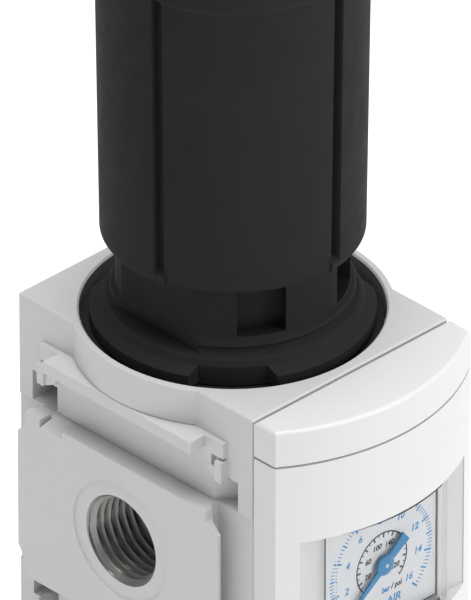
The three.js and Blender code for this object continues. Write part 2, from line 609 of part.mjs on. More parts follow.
/** The pointer at its stop pin, with its wide square tail. */
function gaugeNeedle() {
  const front = NEEDLE_BACK - NEEDLE_THICKNESS;
  const rest = radians(NEEDLE_REST);
  const along = (r, s) => [
    r * Math.cos(rest) - s * Math.sin(rest), GAUGE_Z + r * Math.sin(rest) + s * Math.cos(rest),
  ];
  const [tailHalf, neckHalf, tipHalf] = [1.05, 0.65, 0.22];
  const blade = [
    along(-NEEDLE_TAIL, -tailHalf), along(0, -neckHalf), along(NEEDLE_LENGTH, -tipHalf),
    along(NEEDLE_LENGTH, tipHalf), along(0, neckHalf), along(-NEEDLE_TAIL, tailHalf),
  ];
  const hub = barY(NEEDLE_HUB_RADIUS, front - 0.1, NEEDLE_BACK, 0, GAUGE_Z, 24);
  return prismY(blade, front, NEEDLE_BACK).add(hub);
}

function needleShaft() {
  const pinion = DIAL_FACE + 1.1;
  return barY(NEEDLE_SHAFT_RADIUS, NEEDLE_BACK + GAP, CASE_BACK - CASE_WALL - 2 * GAP, 0, GAUGE_Z, 12)
    .add(barY(2 * NEEDLE_SHAFT_RADIUS, pinion, pinion + 1, 0, GAUGE_Z, 16));
}

/** Brass plate that carries the toothed sector's post, with a hole for the needle's shaft. */
function gaugeMovement() {
  return barY(MOVEMENT_RADIUS, MOVEMENT_BACK - 0.5, MOVEMENT_BACK, 0, GAUGE_Z, 24)
    .subtract(barY(NEEDLE_SHAFT_RADIUS + GAP, MOVEMENT_BACK - 2, MOVEMENT_BACK + 1, 0, GAUGE_Z, 12))
    .add(barY(
      SECTOR_POST_RADIUS, MOVEMENT_BACK - 2.4, MOVEMENT_BACK - 0.2, 0, GAUGE_Z - SECTOR_ARM, 12,
    ));
}

/** The sector that turns the pinion, a fan about its own post. */
function gaugeSector() {
  const middle = 90 - NEEDLE_SWEEP / SECTOR_RATIO / 2;
  const reach = SECTOR_ARM - 2 * NEEDLE_SHAFT_RADIUS - GAP;
  const [from, to] = [middle - SECTOR_HALF_ANGLE, middle + SECTOR_HALF_ANGLE];
  const fan = new THREE.Shape();
  fan.absarc(0, -SECTOR_ARM, reach, radians(from), radians(to), false);
  fan.lineTo(0, -SECTOR_ARM);
  const hole = SECTOR_POST_RADIUS + GAP;
  const boss = bar(hole + GAP, 0, SECTOR_THICKNESS, { y: -SECTOR_ARM, sides: 16 });
  const post = bar(hole, -1, 2, { y: -SECTOR_ARM, sides: 12 });
  const plate = prism(fan, 0, SECTOR_THICKNESS, 8).add(boss).subtract(post);
  return plate.rotate([90, 0, 0]).translate([0, SECTOR_BACK, GAUGE_Z]);
}

/** The curved pressure tube behind the dial, with the arm that joins it to the stem. */
function bourdonTube() {
  const arm = box(0.9, 2.4, -BOURDON_OUTER + GAP, -BOURDON_INNER + 2 * GAP, 0, BOURDON_DEPTH + 1);
  const curl = prism(segment(BOURDON_INNER, BOURDON_OUTER, -75, 195), 0, BOURDON_DEPTH).add(arm);
  return curl.rotate([-90, 0, 0]).rotate([0, 180, 0]).translate([0, DIAL_FACE + 1, GAUGE_Z]);
}

function gaugeStem() {
  const inner = CASE_BACK - CASE_WALL - 0.4;
  const [grooveFront, grooveBack] = [FRONT + 2, FRONT + 3.6];
  const core = barY(GAUGE_SEAL_RADIUS - GAUGE_SEAL_WIRE - GAP, FRONT + 1, FRONT + 5, 0, GAUGE_Z);
  const groove = barY(GAUGE_SOCKET_RADIUS + 1, grooveFront, grooveBack, 0, GAUGE_Z).subtract(core);
  return barY(GAUGE_SOCKET_RADIUS - GAP, FRONT + 6.5, inner, 0, GAUGE_Z)
    .subtract(barY(STEM_BORE_RADIUS, FRONT + 7, FRONT - 0.5, 0, GAUGE_Z, 12))
    .subtract(groove);
}

function gaugeSeal() {
  const seal = wireRing(GAUGE_SEAL_RADIUS, GAUGE_SEAL_WIRE);
  return seal.rotate([90, 0, 0]).translate([0, FRONT + 2.8, GAUGE_Z]);
}

/** The clear cup in front of the dial. */
function gaugeLens() {
  const [w, h] = [GAUGE_HALF_WIDTH, GAUGE_HALF_HEIGHT];
  const front = DIAL_FACE - LENS_RISE;
  const rim = DIAL_FACE - GAP;
  const hollow = box(
    -w + LENS_WALL, w - LENS_WALL, front + LENS_WALL, rim + 1,
    GAUGE_Z - h + LENS_WALL, GAUGE_Z + h - LENS_WALL,
  );
  return box(-w, w, front, rim, GAUGE_Z - h, GAUGE_Z + h).subtract(hollow);
}

/** Screw-in stopper of the second gauge port, in the rear wall. */
function rearPlug() {
  const shank = REAR_PORT_RADIUS - GAP;
  const head = BACK - REAR_HEAD_DEPTH + GAP;
  const socket = hexagon(REAR_KEY, -6, 0).rotate([90, 0, 0]).translate([0, BACK - 4, GAUGE_Z]);
  const core = barY(shank - 0.9, BACK - 5, BACK - 2, 0, GAUGE_Z);
  const groove = barY(shank + 1, BACK - 4.5, BACK - 3, 0, GAUGE_Z).subtract(core);
  return barY(shank, BACK - 6, head, 0, GAUGE_Z)
    .add(barY(REAR_PORT_RADIUS + REAR_HEAD_STEP - GAP, head - 0.01, BACK - 0.2, 0, GAUGE_Z))
    .subtract(socket)
    .subtract(groove);
}

function rearPlugSeal() {
  const seal = wireRing(REAR_PORT_RADIUS - 2 * REAR_SEAL_WIRE, REAR_SEAL_WIRE);
  return seal.rotate([90, 0, 0]).translate([0, BACK - 3.75, GAUGE_Z]);
}

// ---- Bonnet ----

function bonnet() {
  const above = (z) => TOP + z;
  let body = turned([
    [BONNET_MOUTH, BONNET_Z], [BONNET_FLANGE_RADIUS, BONNET_Z], [BONNET_FLANGE_RADIUS, above(0.4)],
    [NOTCH_FLOOR, above(1.35)], ...NECK_BEAD.map(([out, up]) => [NECK_RADIUS + out, above(up)]),
    [NECK_RADIUS, NECK_STEP_Z], [NECK_TOP_RADIUS, NECK_STEP_Z + 1],
    [NECK_TOP_RADIUS, BONNET_TOP], [SPINDLE_NECK_RADIUS + GAP, BONNET_TOP],
    [SPINDLE_NECK_RADIUS + GAP, BONNET_CEILING], [BONNET_BORE, BONNET_CEILING],
    [BONNET_BORE, above(1.5)], [BONNET_MOUTH, above(0.5)],
  ], 36);
  const outside = WELL_RADIUS + 1;
  const keyEnd = BONNET_BORE + NUT_KEY_REACH;
  const keyHalf = NUT_KEY_HALF + GAP;
  const keyFoot = NUT_Z - NUT_TRAVEL - 2;
  body = body
    .subtract(box(-keyHalf, keyHalf, -keyEnd, keyEnd, keyFoot, BONNET_CEILING))
    .subtract(ring(DETENT_GROOVE, outside, DETENT_Z - GAP, DETENT_Z + DETENT_WIRE + GAP));
  for (const side of [-1, 1]) {
    const [flat, past] = [side * NECK_FLAT, side * outside];
    body = body.subtract(
      box(flat, past, -NECK_RADIUS, NECK_RADIUS, above(NECK_FLAT_START), NECK_STEP_Z + 0.5),
    );
  }
  const windowFace = NECK_RADIUS + 1.4; // past the cone and the bead below the window
  const recess = [
    [NECK_WINDOW_FLOOR, -NECK_WINDOW_HALF], [windowFace, -NECK_WINDOW_HALF],
    [windowFace, NECK_WINDOW_HALF], [NECK_WINDOW_FLOOR, NECK_WINDOW_HALF],
  ];
  for (const angle of [60, 120, 240, 300]) {
    const window = prism(recess, above(NECK_WINDOW_SILL), above(NECK_WINDOW_TOP));
    body = body.subtract(window.rotate([0, 0, angle]));
  }
  const corner = (r, degrees) => [r * Math.cos(radians(degrees)), r * Math.sin(radians(degrees))];
  const notch = prism(
    [corner(NOTCH_FLOOR, -15), corner(outside, -21), corner(outside + 3, 0), corner(outside, 21),
      corner(NOTCH_FLOOR, 15), corner(NOTCH_FLOOR, 5), corner(NOTCH_FLOOR, -5)],
    BONNET_Z - 1, above(3),
  );
  for (let i = 0; i < 3; i += 1) {
    body = body.subtract(notch.rotate([0, 0, NOTCH_ANGLE + 120 * i]));
  }
  return body;
}

/** Open spring ring that holds the knob in its raised or lowered place. */
function detentRing() {
  const open = segment(DETENT_GROOVE + GAP, NECK_RADIUS + 0.1, 20, 340);
  return prism(open, DETENT_Z, DETENT_Z + DETENT_WIRE, 18);
}

function clampRing() {
  return ring(BONNET_MOUTH, WELL_RADIUS - GAP, CLAMP_Z, CLAMP_Z + CLAMP_THICKNESS, 36);
}

function diaphragm() {
  return ring(HUB_RADIUS + GAP, DIAPHRAGM_RADIUS, DIAPHRAGM_Z, DIAPHRAGM_Z + DIAPHRAGM_THICKNESS, 32);
}

// ---- Adjusting train ----

/** Outer radius of the knob at a height. */
const knobRadius = (z) => KNOB_BOTTOM_RADIUS + KNOB_DRAFT * (z - KNOB_Z);

function knob() {
  const roof = KNOB_TOP - KNOB_ROOF;
  const rimTop = KNOB_Z + KNOB_RIM;
  const capSeat = KNOB_TOP - CAP_THICKNESS - GAP;
  let body = turned([
    [NECK_RADIUS + GAP, KNOB_Z], [knobRadius(KNOB_Z) - KNOB_RIM, KNOB_Z], [knobRadius(rimTop), rimTop],
    [knobRadius(KNOB_TOP), KNOB_TOP - 1], [knobRadius(KNOB_TOP) - 1, KNOB_TOP],
    [CAP_RADIUS + GAP, KNOB_TOP], [CAP_RADIUS + GAP, capSeat],
    [0, capSeat], [0, roof], [KNOB_BORE, roof],
    [KNOB_BORE, KNOB_Z + 3], [NECK_RADIUS + GAP, KNOB_Z + 2.5],
  ], 36);
  const socket = hexagon(SPINDLE_HEX + 2 * GAP, HUB_Z - 1, roof);
  body = body.add(bar(SPINDLE_HEX / 2 + 3.1, HUB_Z, roof + 0.5).subtract(socket));
  const panelTop = KNOB_Z + KNOB_PANEL_HEIGHT;
  const outside = knobRadius(KNOB_TOP) + 2;
  const panelFloor = KNOB_BOTTOM_RADIUS - KNOB_PANEL_DEPTH;
  const grooveFloor = KNOB_BOTTOM_RADIUS - KNOB_GROOVE_DEPTH;
  for (const middle of [KNOB_PANEL_ANGLE, KNOB_PANEL_ANGLE + 180]) {
    const [from, to] = [middle - KNOB_PANEL_HALF, middle + KNOB_PANEL_HALF];
    body = body.subtract(prism(segment(panelFloor, outside, from, to), KNOB_Z - 1, panelTop, 8));
    for (const edge of [from, to]) {
      const groove = segment(grooveFloor, outside, edge - KNOB_GROOVE_HALF, edge + KNOB_GROOVE_HALF);
      body = body.subtract(prism(groove, KNOB_Z + 1.2, panelTop, 2));
    }
  }
  return body;
}

function knobCap() {
  return bar(CAP_RADIUS, KNOB_TOP - CAP_THICKNESS, KNOB_TOP);
}

function spindle() {
  const grip = SPINDLE_NECK_RADIUS - 0.6;
  const neck = SPINDLE_NECK_RADIUS;
  const collar = neck + SPINDLE_COLLAR_STEP;
  const collarTop = COLLAR_Z + COLLAR_THICKNESS;
  const clipTop = CLIP_Z + CLIP_THICKNESS + GAP;
  return turned([
    [0, SPINDLE_FOOT], [SPINDLE_RADIUS - SPINDLE_CHAMFER, SPINDLE_FOOT],
    [SPINDLE_RADIUS, SPINDLE_FOOT + SPINDLE_CHAMFER],
    [SPINDLE_RADIUS, COLLAR_Z], [collar, COLLAR_Z], [collar, collarTop], [neck, collarTop],
    [neck, CLIP_Z - GAP], [grip, CLIP_Z - GAP], [grip, clipTop], [neck, clipTop], [neck, clipTop + 0.4],
    [0, clipTop + 0.4],
  ], 24).add(hexagon(SPINDLE_HEX, CLIP_Z + CLIP_THICKNESS, SPINDLE_TOP));
}

function spindleClip() {
  const open = segment(SPINDLE_NECK_RADIUS - GAP, SPINDLE_NECK_RADIUS + CLIP_REACH, 25, 335);
  return prism(open, CLIP_Z, CLIP_Z + CLIP_THICKNESS, 16);
}

function thrustWasher() {
  const z = COLLAR_Z + COLLAR_THICKNESS + GAP;
  return ring(SPINDLE_NECK_RADIUS + GAP, BONNET_BORE - WASHER_PLAY, z, z + WASHER_THICKNESS, 32);
}

function springNut() {
  const key = BONNET_BORE + NUT_KEY_REACH - GAP;
  return bar(BONNET_BORE - GAP, NUT_Z, NUT_Z + NUT_THICKNESS)
    .add(box(-NUT_KEY_HALF, NUT_KEY_HALF, -key, key, NUT_Z, NUT_Z + NUT_THICKNESS))
    .subtract(bar(SPINDLE_RADIUS + GAP, NUT_Z - 1, NUT_Z + NUT_THICKNESS + 1));
}

function mainSpring() {
  return spring(MAIN_SPRING_RADIUS, MAIN_WIRE, PLATE_Z + PLATE_THICKNESS + GAP, NUT_Z - GAP, 6.5);
}

function diaphragmPlate() {
  return bar(PLATE_RADIUS, PLATE_Z, PLATE_Z + PLATE_THICKNESS)
    .add(bar(HUB_RADIUS, HUB_TIP_Z, PLATE_Z + 0.1, { sides: 24 }));
}

function diaphragmWasher() {
  return ring(HUB_RADIUS + GAP, DIAPHRAGM_WASHER_RADIUS, DIAPHRAGM_Z - GAP - 1.2, DIAPHRAGM_Z - GAP, 32);
}

// ---- Valve ----

function stemGuide() {
  const z = TOP - CHAMBER_DEPTH - GUIDE_LENGTH;
  return ring(STEM_RADIUS + GAP, GUIDE_RADIUS, z, z + GUIDE_LENGTH, 24);
}

function valveSeat() {
  return ring(SEAT_BORE, SEAT_RADIUS, SEAT_LIP_Z, TOP - SEAT_TOP, 32);
}

function valveStem() {
  return bar(STEM_RADIUS, STEM_FOOT, STEM_TOP, { sides: 20 });
}

function valveRubber() {
  return ring(STEM_RADIUS + GAP, SEAT_RADIUS + 0.2, RUBBER_Z, RUBBER_Z + SEAL_THICKNESS, 32);
}

function valveDisc() {
  return ring(STEM_RADIUS + GAP, SEAT_RADIUS + DISC_MARGIN, DISC_Z, DISC_Z + DISC_THICKNESS, 32);
}

function valveSpring() {
  return spring(VALVE_SPRING_RADIUS, VALVE_WIRE, CUP_Z + GAP, DISC_Z - GAP, 6);
}

function bottomPlug() {
  const grooveZ = PLUG_TOP_Z - PLUG_SEAL_DROP;
  const grooveFloor = PLUG_RADIUS - 2 * PLUG_SEAL_WIRE - GAP;
  const grooveHalf = PLUG_SEAL_WIRE + GAP;
  const groove = ring(grooveFloor, PLUG_RADIUS + 2, grooveZ - grooveHalf, grooveZ + grooveHalf);
  const flangeTop = FOOT_HEIGHT - GAP;
  let flange = turned([
    [0, 0], [FOOT_RADIUS - FOOT_CHAMFER, 0], [FOOT_RADIUS, FOOT_CHAMFER],
    [FOOT_RADIUS, flangeTop], [0, flangeTop],
  ]);
  for (const side of [-1, 1]) {
    const [flat, past] = [side * (FOOT_RADIUS - FOOT_FLAT_DEPTH), side * (FOOT_RADIUS + 1)];
    const flatEnd = FOOT_FLAT_HALF;
    flange = flange.subtract(box(flat, past, -flatEnd, flatEnd, FOOT_FLAT_SILL, FOOT_HEIGHT));
  }
  return flange
    .add(bar(PLUG_RADIUS, flangeTop - 0.5, PLUG_TOP_Z))
    .subtract(groove)
    .subtract(bar(PLUG_CUP_RADIUS, CUP_Z, PLUG_TOP_Z + 1, { sides: 32 }));
}

function plugSeal() {
  return wireRing(PLUG_RADIUS - PLUG_SEAL_WIRE, PLUG_SEAL_WIRE - 0.05, PLUG_TOP_Z - PLUG_SEAL_DROP);
}

// ---- The assembly ----

const finish = (color, roughness, metalness = 0, extra = {}) => (
  new THREE.MeshStandardMaterial({ color, roughness, metalness, ...extra })
);
const greyPaint = finish(0xc6c4c4, 0.5, 0.2);
const whitePlastic = finish(0xe8e8e8, 0.45);
const blackPlastic = finish(0x2f2e2b, 0.5);
const brass = finish(0xb08d4a, 0.35, 1);
const steel = finish(0xa9abad, 0.35, 1);
const rubber = finish(0x1c1c1c, 0.8);
const dialWhite = finish(0xe4e6e8, 0.6);
const needleBlue = finish(0x468cbe, 0.5);
const clear = finish(0xf2f6f8, 0.05, 0, { transparent: true, opacity: 0.35 });

const regulator = new THREE.Group();

function place(name, piece, material) {
  const shape = piece.getMesh();
  const geometry = new THREE.BufferGeometry();
  geometry.setAttribute('position', new THREE.BufferAttribute(new Float32Array(shape.vertProperties), 3));
  geometry.setIndex(new THREE.BufferAttribute(new Uint32Array(shape.triVerts), 1));
  geometry.computeVertexNormals();
  const mesh = new THREE.Mesh(geometry, material);
  mesh.name = name;
  regulator.add(mesh);
}

place('housing', housing(), greyPaint);
place('front_cover', frontCover(), whitePlastic);
place('cover_lid', coverLid(), whitePlastic);
place('gauge_case', gaugeCase(), blackPlastic);
place('gauge_dial', gaugeDial(), dialWhite);
place('gauge_lens', gaugeLens(), clear);
place('gauge_needle', gaugeNeedle(), needleBlue);
place('needle_shaft', needleShaft(), steel);
place('gauge_movement', gaugeMovement(), brass);
place('gauge_sector', gaugeSector(), brass);
place('bourdon_tube', bourdonTube(), brass);
place('gauge_stem', gaugeStem(), brass);
place('gauge_seal', gaugeSeal(), rubber);
screwPlaces().forEach((at, i) => place(`gauge_screw_${i + 1}`, gaugeScrew(at), steel));
place('rear_plug', rearPlug(), steel);
place('rear_plug_seal', rearPlugSeal(), rubber);
place('bonnet', bonnet(), blackPlastic);
place('detent_ring', detentRing(), steel);
place('clamp_ring', clampRing(), blackPlastic);
place('diaphragm', diaphragm(), rubber);
place('knob', knob(), blackPlastic);
place('knob_cap', knobCap(), blackPlastic);
place('spindle', spindle(), steel);
place('spindle_clip', spindleClip(), steel);
place('thrust_washer', thrustWasher(), brass);
place('spring_nut', springNut(), brass);
place('main_spring', mainSpring(), steel);
place('diaphragm_plate', diaphragmPlate(), brass);
place('diaphragm_washer', diaphragmWasher(), brass);
place('stem_guide', stemGuide(), brass);
place('valve_seat', valveSeat(), brass);
place('valve_stem', valveStem(), steel);
place('valve_rubber', valveRubber(), rubber);
place('valve_disc', valveDisc(), brass);
place('valve_spring', valveSpring(), steel);
place('bottom_plug', bottomPlug(), blackPlastic);
place('plug_seal', plugSeal(), rubber);

export default regulator;
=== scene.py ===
"""A compressed-air pressure regulator: painted block housing, white front cover with a gauge, black knob.

Shapes are written in millimetres in the frame of the CAD model, +Z up, gauge towards -Y, ports along X,
and become metres when a mesh is made. Heights written as a drop count down from the housing's top.
"""

import json
from math import asin, atan2, ceil, cos, hypot, pi, radians, sin, sqrt, tan

import bmesh
import bpy
from mathutils import Matrix, Vector


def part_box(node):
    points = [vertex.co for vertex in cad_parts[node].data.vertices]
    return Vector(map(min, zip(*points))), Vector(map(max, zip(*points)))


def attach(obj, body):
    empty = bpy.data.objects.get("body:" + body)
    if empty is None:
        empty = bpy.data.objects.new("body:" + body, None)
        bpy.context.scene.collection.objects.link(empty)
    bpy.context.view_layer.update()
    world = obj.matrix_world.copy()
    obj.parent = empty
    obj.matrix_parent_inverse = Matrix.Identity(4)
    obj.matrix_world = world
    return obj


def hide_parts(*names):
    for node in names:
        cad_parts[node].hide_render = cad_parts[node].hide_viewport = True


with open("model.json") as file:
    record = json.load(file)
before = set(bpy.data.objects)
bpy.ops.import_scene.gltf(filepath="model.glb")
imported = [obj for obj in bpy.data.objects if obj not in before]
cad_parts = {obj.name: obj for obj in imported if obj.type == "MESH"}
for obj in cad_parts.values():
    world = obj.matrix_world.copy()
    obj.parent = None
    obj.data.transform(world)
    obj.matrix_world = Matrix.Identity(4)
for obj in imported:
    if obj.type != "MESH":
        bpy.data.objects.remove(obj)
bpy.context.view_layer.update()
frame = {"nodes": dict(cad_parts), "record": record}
nodes = frame["nodes"]

MM = 0.001


def box_mm(node):
    """Lowest and highest corner of a CAD node, in millimetres."""
    low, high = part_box(node)
    return low / MM, high / MM


# ---- Sizes ----

GAP = 0.3  # between pieces that touch
BEYOND = 40  # well outside the regulator, for cutters

cover_low, cover_high = box_mm("front_cover")
lid_low, lid_high = box_mm("cover_lid")
knob_low, knob_high = box_mm("knob")
lens_low, lens_high = box_mm("gauge_lens")
dial_low, dial_high = box_mm("gauge_dial")
needle_high = box_mm("gauge_needle")[1]
lens_rim = dial_low.y - 0.06  # the cup's open end, just before the dial
foot_high = box_mm("bottom_plug")[1]
bonnet_low, bonnet_high = box_mm("bonnet")

TOP = lid_high.z
BASE = cover_low.z
SIDE = lid_high.x
FRONT = cover_high.y + GAP
BACK = box_mm("housing")[1].y
GAUGE_Z = (lens_low.z + lens_high.z) / 2

BAND_HEIGHT = 15.7
BAND_STEP = 0.2
CAST_EDGE = 0.3  # rounding of the casting's outer edges
WELL_RADIUS = 20.44
WELL_DEPTH = 4.5
COLLAR_RADIUS = 21.6
COLLAR_HEIGHT = 5.5

RAIL_REACH = 3.55
RAIL_HALF_LENGTH = 14
RAIL_THICKNESS = 1.9
POCKET_DEPTH = 5.5  # of the dark pockets beside the hooks
POCKET_NEAR, POCKET_FAR = 17.6, 19.5  # their two ends along the wall
POCKET_TOP, POCKET_FLOOR = 10.9, 15.5
HOLLOW_TOP = 11.55  # of the slope that leads into a pocket
HOLLOW_START = 14.7

PAD_REACH = 2.85
PAD_TOP = 15.6
PAD_BOTTOM = 41.6
PAD_FRONT = 16.2
PAD_REAR = 18.1
PAD_LIP = 1.87
PAD_BEVEL = 0.43
PAD_LIP_THICKNESS = 0.67
PAD_SHOULDER = 0.9  # of the slope under the lip
PAD_INSET = 0.6  # of the foot under the lip

PORT_DROP = 27.8
PORT_DEPTH = 11.5
PORT_SPOT_RADIUS = 8.8
PORT_SPOT_DEPTH = 0.25
PORT_MOUTH_RADIUS = 6.63
THREAD_ROOT = 6.5
THREAD_CREST = 5.74
THREAD_PITCH = 1.337
DRILL_POINT = 1.2  # depth of the cone below the thread

COVER_SIDE = 4.2
COVER_CROWN = 5.8
COVER_WALL = 2
COVER_TURN = 0.35  # rounding between its sides and its arch
WINDOW_HALF_WIDTH = 15.3
WINDOW_TOP = 17.6
WINDOW_BOTTOM = 37.7
WINDOW_FLAT = 1.65  # flats on each side of the gauge, in front of the cover's corners

NECK_RADIUS = 15.6
NECK_FLAT = 14.2
KNOB_RADIUS = 17.67
KNOB_PANEL_ANGLE = 54  # middle of one recessed grip panel, in degrees
KNOB_PANEL_HALF = 42
KNOB_PANEL_DEPTH = 0.35
KNOB_PANEL_HEIGHT = 43.7
KNOB_GROOVE_DEPTH = 1.2
KNOB_GROOVE_HALF = 2

DIAL_SWEEP = 270  # degrees from 0 to full scale
FULL_SCALE_BAR = 16
PSI_PER_BAR = 14.5


# ---- Mesh tools ----


def mesh_piece(name, points, faces):
    """An object with a closed mesh, its faces turned outwards."""
    mesh = bpy.data.meshes.new(name)
    mesh.from_pydata([Vector(p) * MM for p in points], [], faces)
    shape = bmesh.new()
    shape.from_mesh(mesh)
    bmesh.ops.remove_doubles(shape, verts=shape.verts, dist=1e-7)
    bmesh.ops.recalc_face_normals(shape, faces=shape.faces)
    shape.to_mesh(mesh)
    shape.free()
    piece = bpy.data.objects.new(name, mesh)
    bpy.context.scene.collection.objects.link(piece)
    return piece


def loft(loops, name="part"):
    """A closed solid through loops of equally many points, with a flat face on each end."""
    count = len(loops[0])
    points = [p for loop in loops for p in loop]
    faces = [list(range(count)), [len(points) - count + i for i in range(count)]]
    for k in range(len(loops) - 1):
        low, high = k * count, (k + 1) * count
        for i in range(count):
            j = (i + 1) % count
            faces.append([low + i, low + j, high + j, high + i])
    return mesh_piece(name, points, faces)


def rounded(corners, steps=4):
    """An outline from corners (x, y) or (x, y, radius), the latter rounded."""
    outline = []
    for i, corner in enumerate(corners):
        point = Vector(corner[:2])
        radius = corner[2] if len(corner) > 2 else 0
        if not radius:
            outline.append(point)
            continue
        before = (Vector(corners[i - 1][:2]) - point).normalized()
        after = (Vector(corners[(i + 1) % len(corners)][:2]) - point).normalized()
        half = before.angle(after) / 2
        centre = point + (before + after).normalized() * radius / sin(half)
        start = point + before * radius / tan(half) - centre
        end = point + after * radius / tan(half) - centre
        first = atan2(start.y, start.x)
        sweep = (atan2(end.y, end.x) - first + pi) % (2 * pi) - pi
        for k in range(steps + 1):
            angle = first + sweep * k / steps
            outline.append(centre + radius * Vector((cos(angle), sin(angle))))
    return outline


def inset(outline, distance):
    """The outline drawn in by a distance."""
    if not distance:
        return list(outline)
    sharpest = 0.3  # keeps a very sharp corner from running far in
    count = len(outline)
    area = sum(outline[i - 1].cross(outline[i]) for i in range(count))
    turn = 1 if area > 0 else -1
    drawn = []
    for i, point in enumerate(outline):
        before = (point - outline[i - 1]).normalized()
        after = (outline[(i + 1) % count] - point).normalized()
        normal = Vector((-before.y, before.x)) * turn
        other = Vector((-after.y, after.x)) * turn
        middle = (normal + other).normalized()
        drawn.append(point + middle * distance / max(sharpest, middle.dot(normal)))
    return drawn


AXES = {
    "x": lambda u, v, w: (w, u, v),
    "y": lambda u, v, w: (u, w, v),
    "z": lambda u, v, w: (u, v, w),
}


def prism(outline, low, high, axis="z", low_edge=0, high_edge=0, steps=3, drawn=inset):
    """An outline drawn out along an axis. Each end's edge is rounded by its own radius."""
    levels = []
    for radius, end, way in ((low_edge, low, 1), (high_edge, high, -1)):
        turns = [radians(90) * k / steps for k in range(steps + 1)] if radius else [radians(90)]
        row = [(radius * (1 - sin(a)), end + way * radius * (1 - cos(a))) for a in turns]
        levels += row if way > 0 else row[::-1]
    loops = [[AXES[axis](p.x, p.y, w) for p in drawn(outline, d)] for d, w in levels]
    return loft(loops)


def block(x0, x1, y0, y1, z0, z1, edge=0.15, axis="z"):
    """A box with all its edges rounded."""
    spans = [sorted(pair) for pair in ((x0, x1), (y0, y1), (z0, z1))]
    order = {"x": (1, 2, 0), "y": (0, 2, 1), "z": (0, 1, 2)}[axis]
    (u0, u1), (v0, v1), (w0, w1) = [spans[i] for i in order]
    corner = edge * 1.2  # a little rounder than the ends
    plan = rounded([(u0, v0, corner), (u1, v0, corner), (u1, v1, corner), (u0, v1, corner)], 3)
    return prism(plan, w0, w1, axis, edge, edge)


def turned(profile, sides=96, axis="z", centre=(0, 0)):
    """A solid of revolution from (radius, height) points. A profile off the axis is closed on itself."""
    on_axis = profile[0][0] == 0
    points, faces = [], []
    count = len(profile)
    for k in range(sides):
        angle = 2 * pi * k / sides
        for radius, height in profile:
            u, v = centre[0] + radius * cos(angle), centre[1] + radius * sin(angle)
            points.append(AXES[axis](u, v, height))
    rows = count - 1 if on_axis else count
    for k in range(sides):
        here, there = k * count, (k + 1) % sides * count
        for i in range(rows):
            j = (i + 1) % count
            corners = [here + i, here + j, there + j, there + i]
            if profile[i][0] == 0:
                corners = corners[:3]
            elif profile[j][0] == 0:
                corners = [corners[0], corners[1], corners[3]]
            faces.append(corners)
    return mesh_piece("part", points, faces)


def bar(radius, low, high, axis="z", centre=(0, 0), edge=0, sides=64):
    """A round bar with its two end edges rounded."""
    profile = [(0, low), (radius, low, edge), (radius, high, edge), (0, high)]
    return turned([tuple(p) for p in rounded(profile, 3)], sides, axis, centre)


def settle(piece):
    """Writes a piece's modifiers into its mesh."""
    shown = piece.evaluated_get(bpy.context.evaluated_depsgraph_get())
    mesh = bpy.data.meshes.new_from_object(shown)
    piece.modifiers.clear()
    piece.data = mesh
    return piece


def combine(piece, others, operation):
    for other in others:
        step = piece.modifiers.new(operation, "BOOLEAN")
        step.operation = operation
        step.solver = "MANIFOLD"
        step.object = other
        settle(piece)
        bpy.data.objects.remove(other)
    return piece


def join(piece, *others):
    return combine(piece, others, "UNION")


def cut(piece, *others):
    return combine(piece, others, "DIFFERENCE")


def common(piece, *others):
    return combine(piece, others, "INTERSECT")


def finish(piece, name, materials, body, replaced=(), smooth=32):
    """Names a piece, shades it and puts it on its body."""
    piece.name = name
    piece.data.name = name
    piece.data.materials.clear()
    for material in materials:
        piece.data.materials.append(material)
    piece.data.polygons.foreach_set("use_smooth", [True] * len(piece.data.polygons))
    piece.data.set_sharp_from_angle(angle=radians(smooth))
    weighting = piece.modifiers.new("normals", "WEIGHTED_NORMAL")
    weighting.keep_sharp = True
    weighting.weight = 90
    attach(piece, body)
    if replaced:
        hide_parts(*replaced)
    return piece


# ---- Materials ----


class Nodes:
    """A material being wired, with its textures in the object's own coordinates."""

    def __init__(self, name):
        self.material = bpy.data.materials.new(name)
        self.material.use_nodes = True
        self.tree = self.material.node_tree
        self.shader = self.tree.nodes["Principled BSDF"]
        self.place = self.tree.nodes.new("ShaderNodeTexCoord").outputs["Object"]

    def link(self, a, b):
        self.tree.links.new(a, b)

    def stretched(self, scale):
        mapping = self.tree.nodes.new("ShaderNodeMapping")
        mapping.inputs["Scale"].default_value = scale
        self.link(self.place, mapping.inputs["Vector"])
        return mapping.outputs["Vector"]

    def noise(self, per_metre, detail=3, rough=0.55, place=None):
        node = self.tree.nodes.new("ShaderNodeTexNoise")
        node.inputs["Scale"].default_value = per_metre
        node.inputs["Detail"].default_value = detail
        node.inputs["Roughness"].default_value = rough
        self.link(place or self.place, node.inputs["Vector"])
        return node.outputs["Fac"]

    def ramp(self, value, low, high, low_at=0.3, high_at=0.7):
        """The value turned into a colour, or a grey where low and high are numbers."""
        node = self.tree.nodes.new("ShaderNodeValToRGB")
        for element, level, at in zip(node.color_ramp.elements, (low, high), (low_at, high_at)):
            element.color = (*level, 1) if isinstance(level, tuple) else (level, level, level, 1)
            element.position = at
        self.link(value, node.inputs["Fac"])
        return node.outputs["Color"]

    def bump(self, heights):
        """Bumps from (value, depth in millimetres) pairs, one on another."""
        before = None
        for value, depth in heights:
            node = self.tree.nodes.new("ShaderNodeBump")
            node.inputs["Distance"].default_value = depth * MM
            self.link(value, node.inputs["Height"])
            if before:
                self.link(before, node.inputs["Normal"])
            before = node.outputs["Normal"]
        self.link(before, self.shader.inputs["Normal"])

    def base(self, colour):
        self.link(colour, self.shader.inputs["Base Color"])

    def rough(self, value):
        self.link(value, self.shader.inputs["Roughness"])


def tinted(colour, share):
    return tuple(min(1.0, c * share) for c in colour)


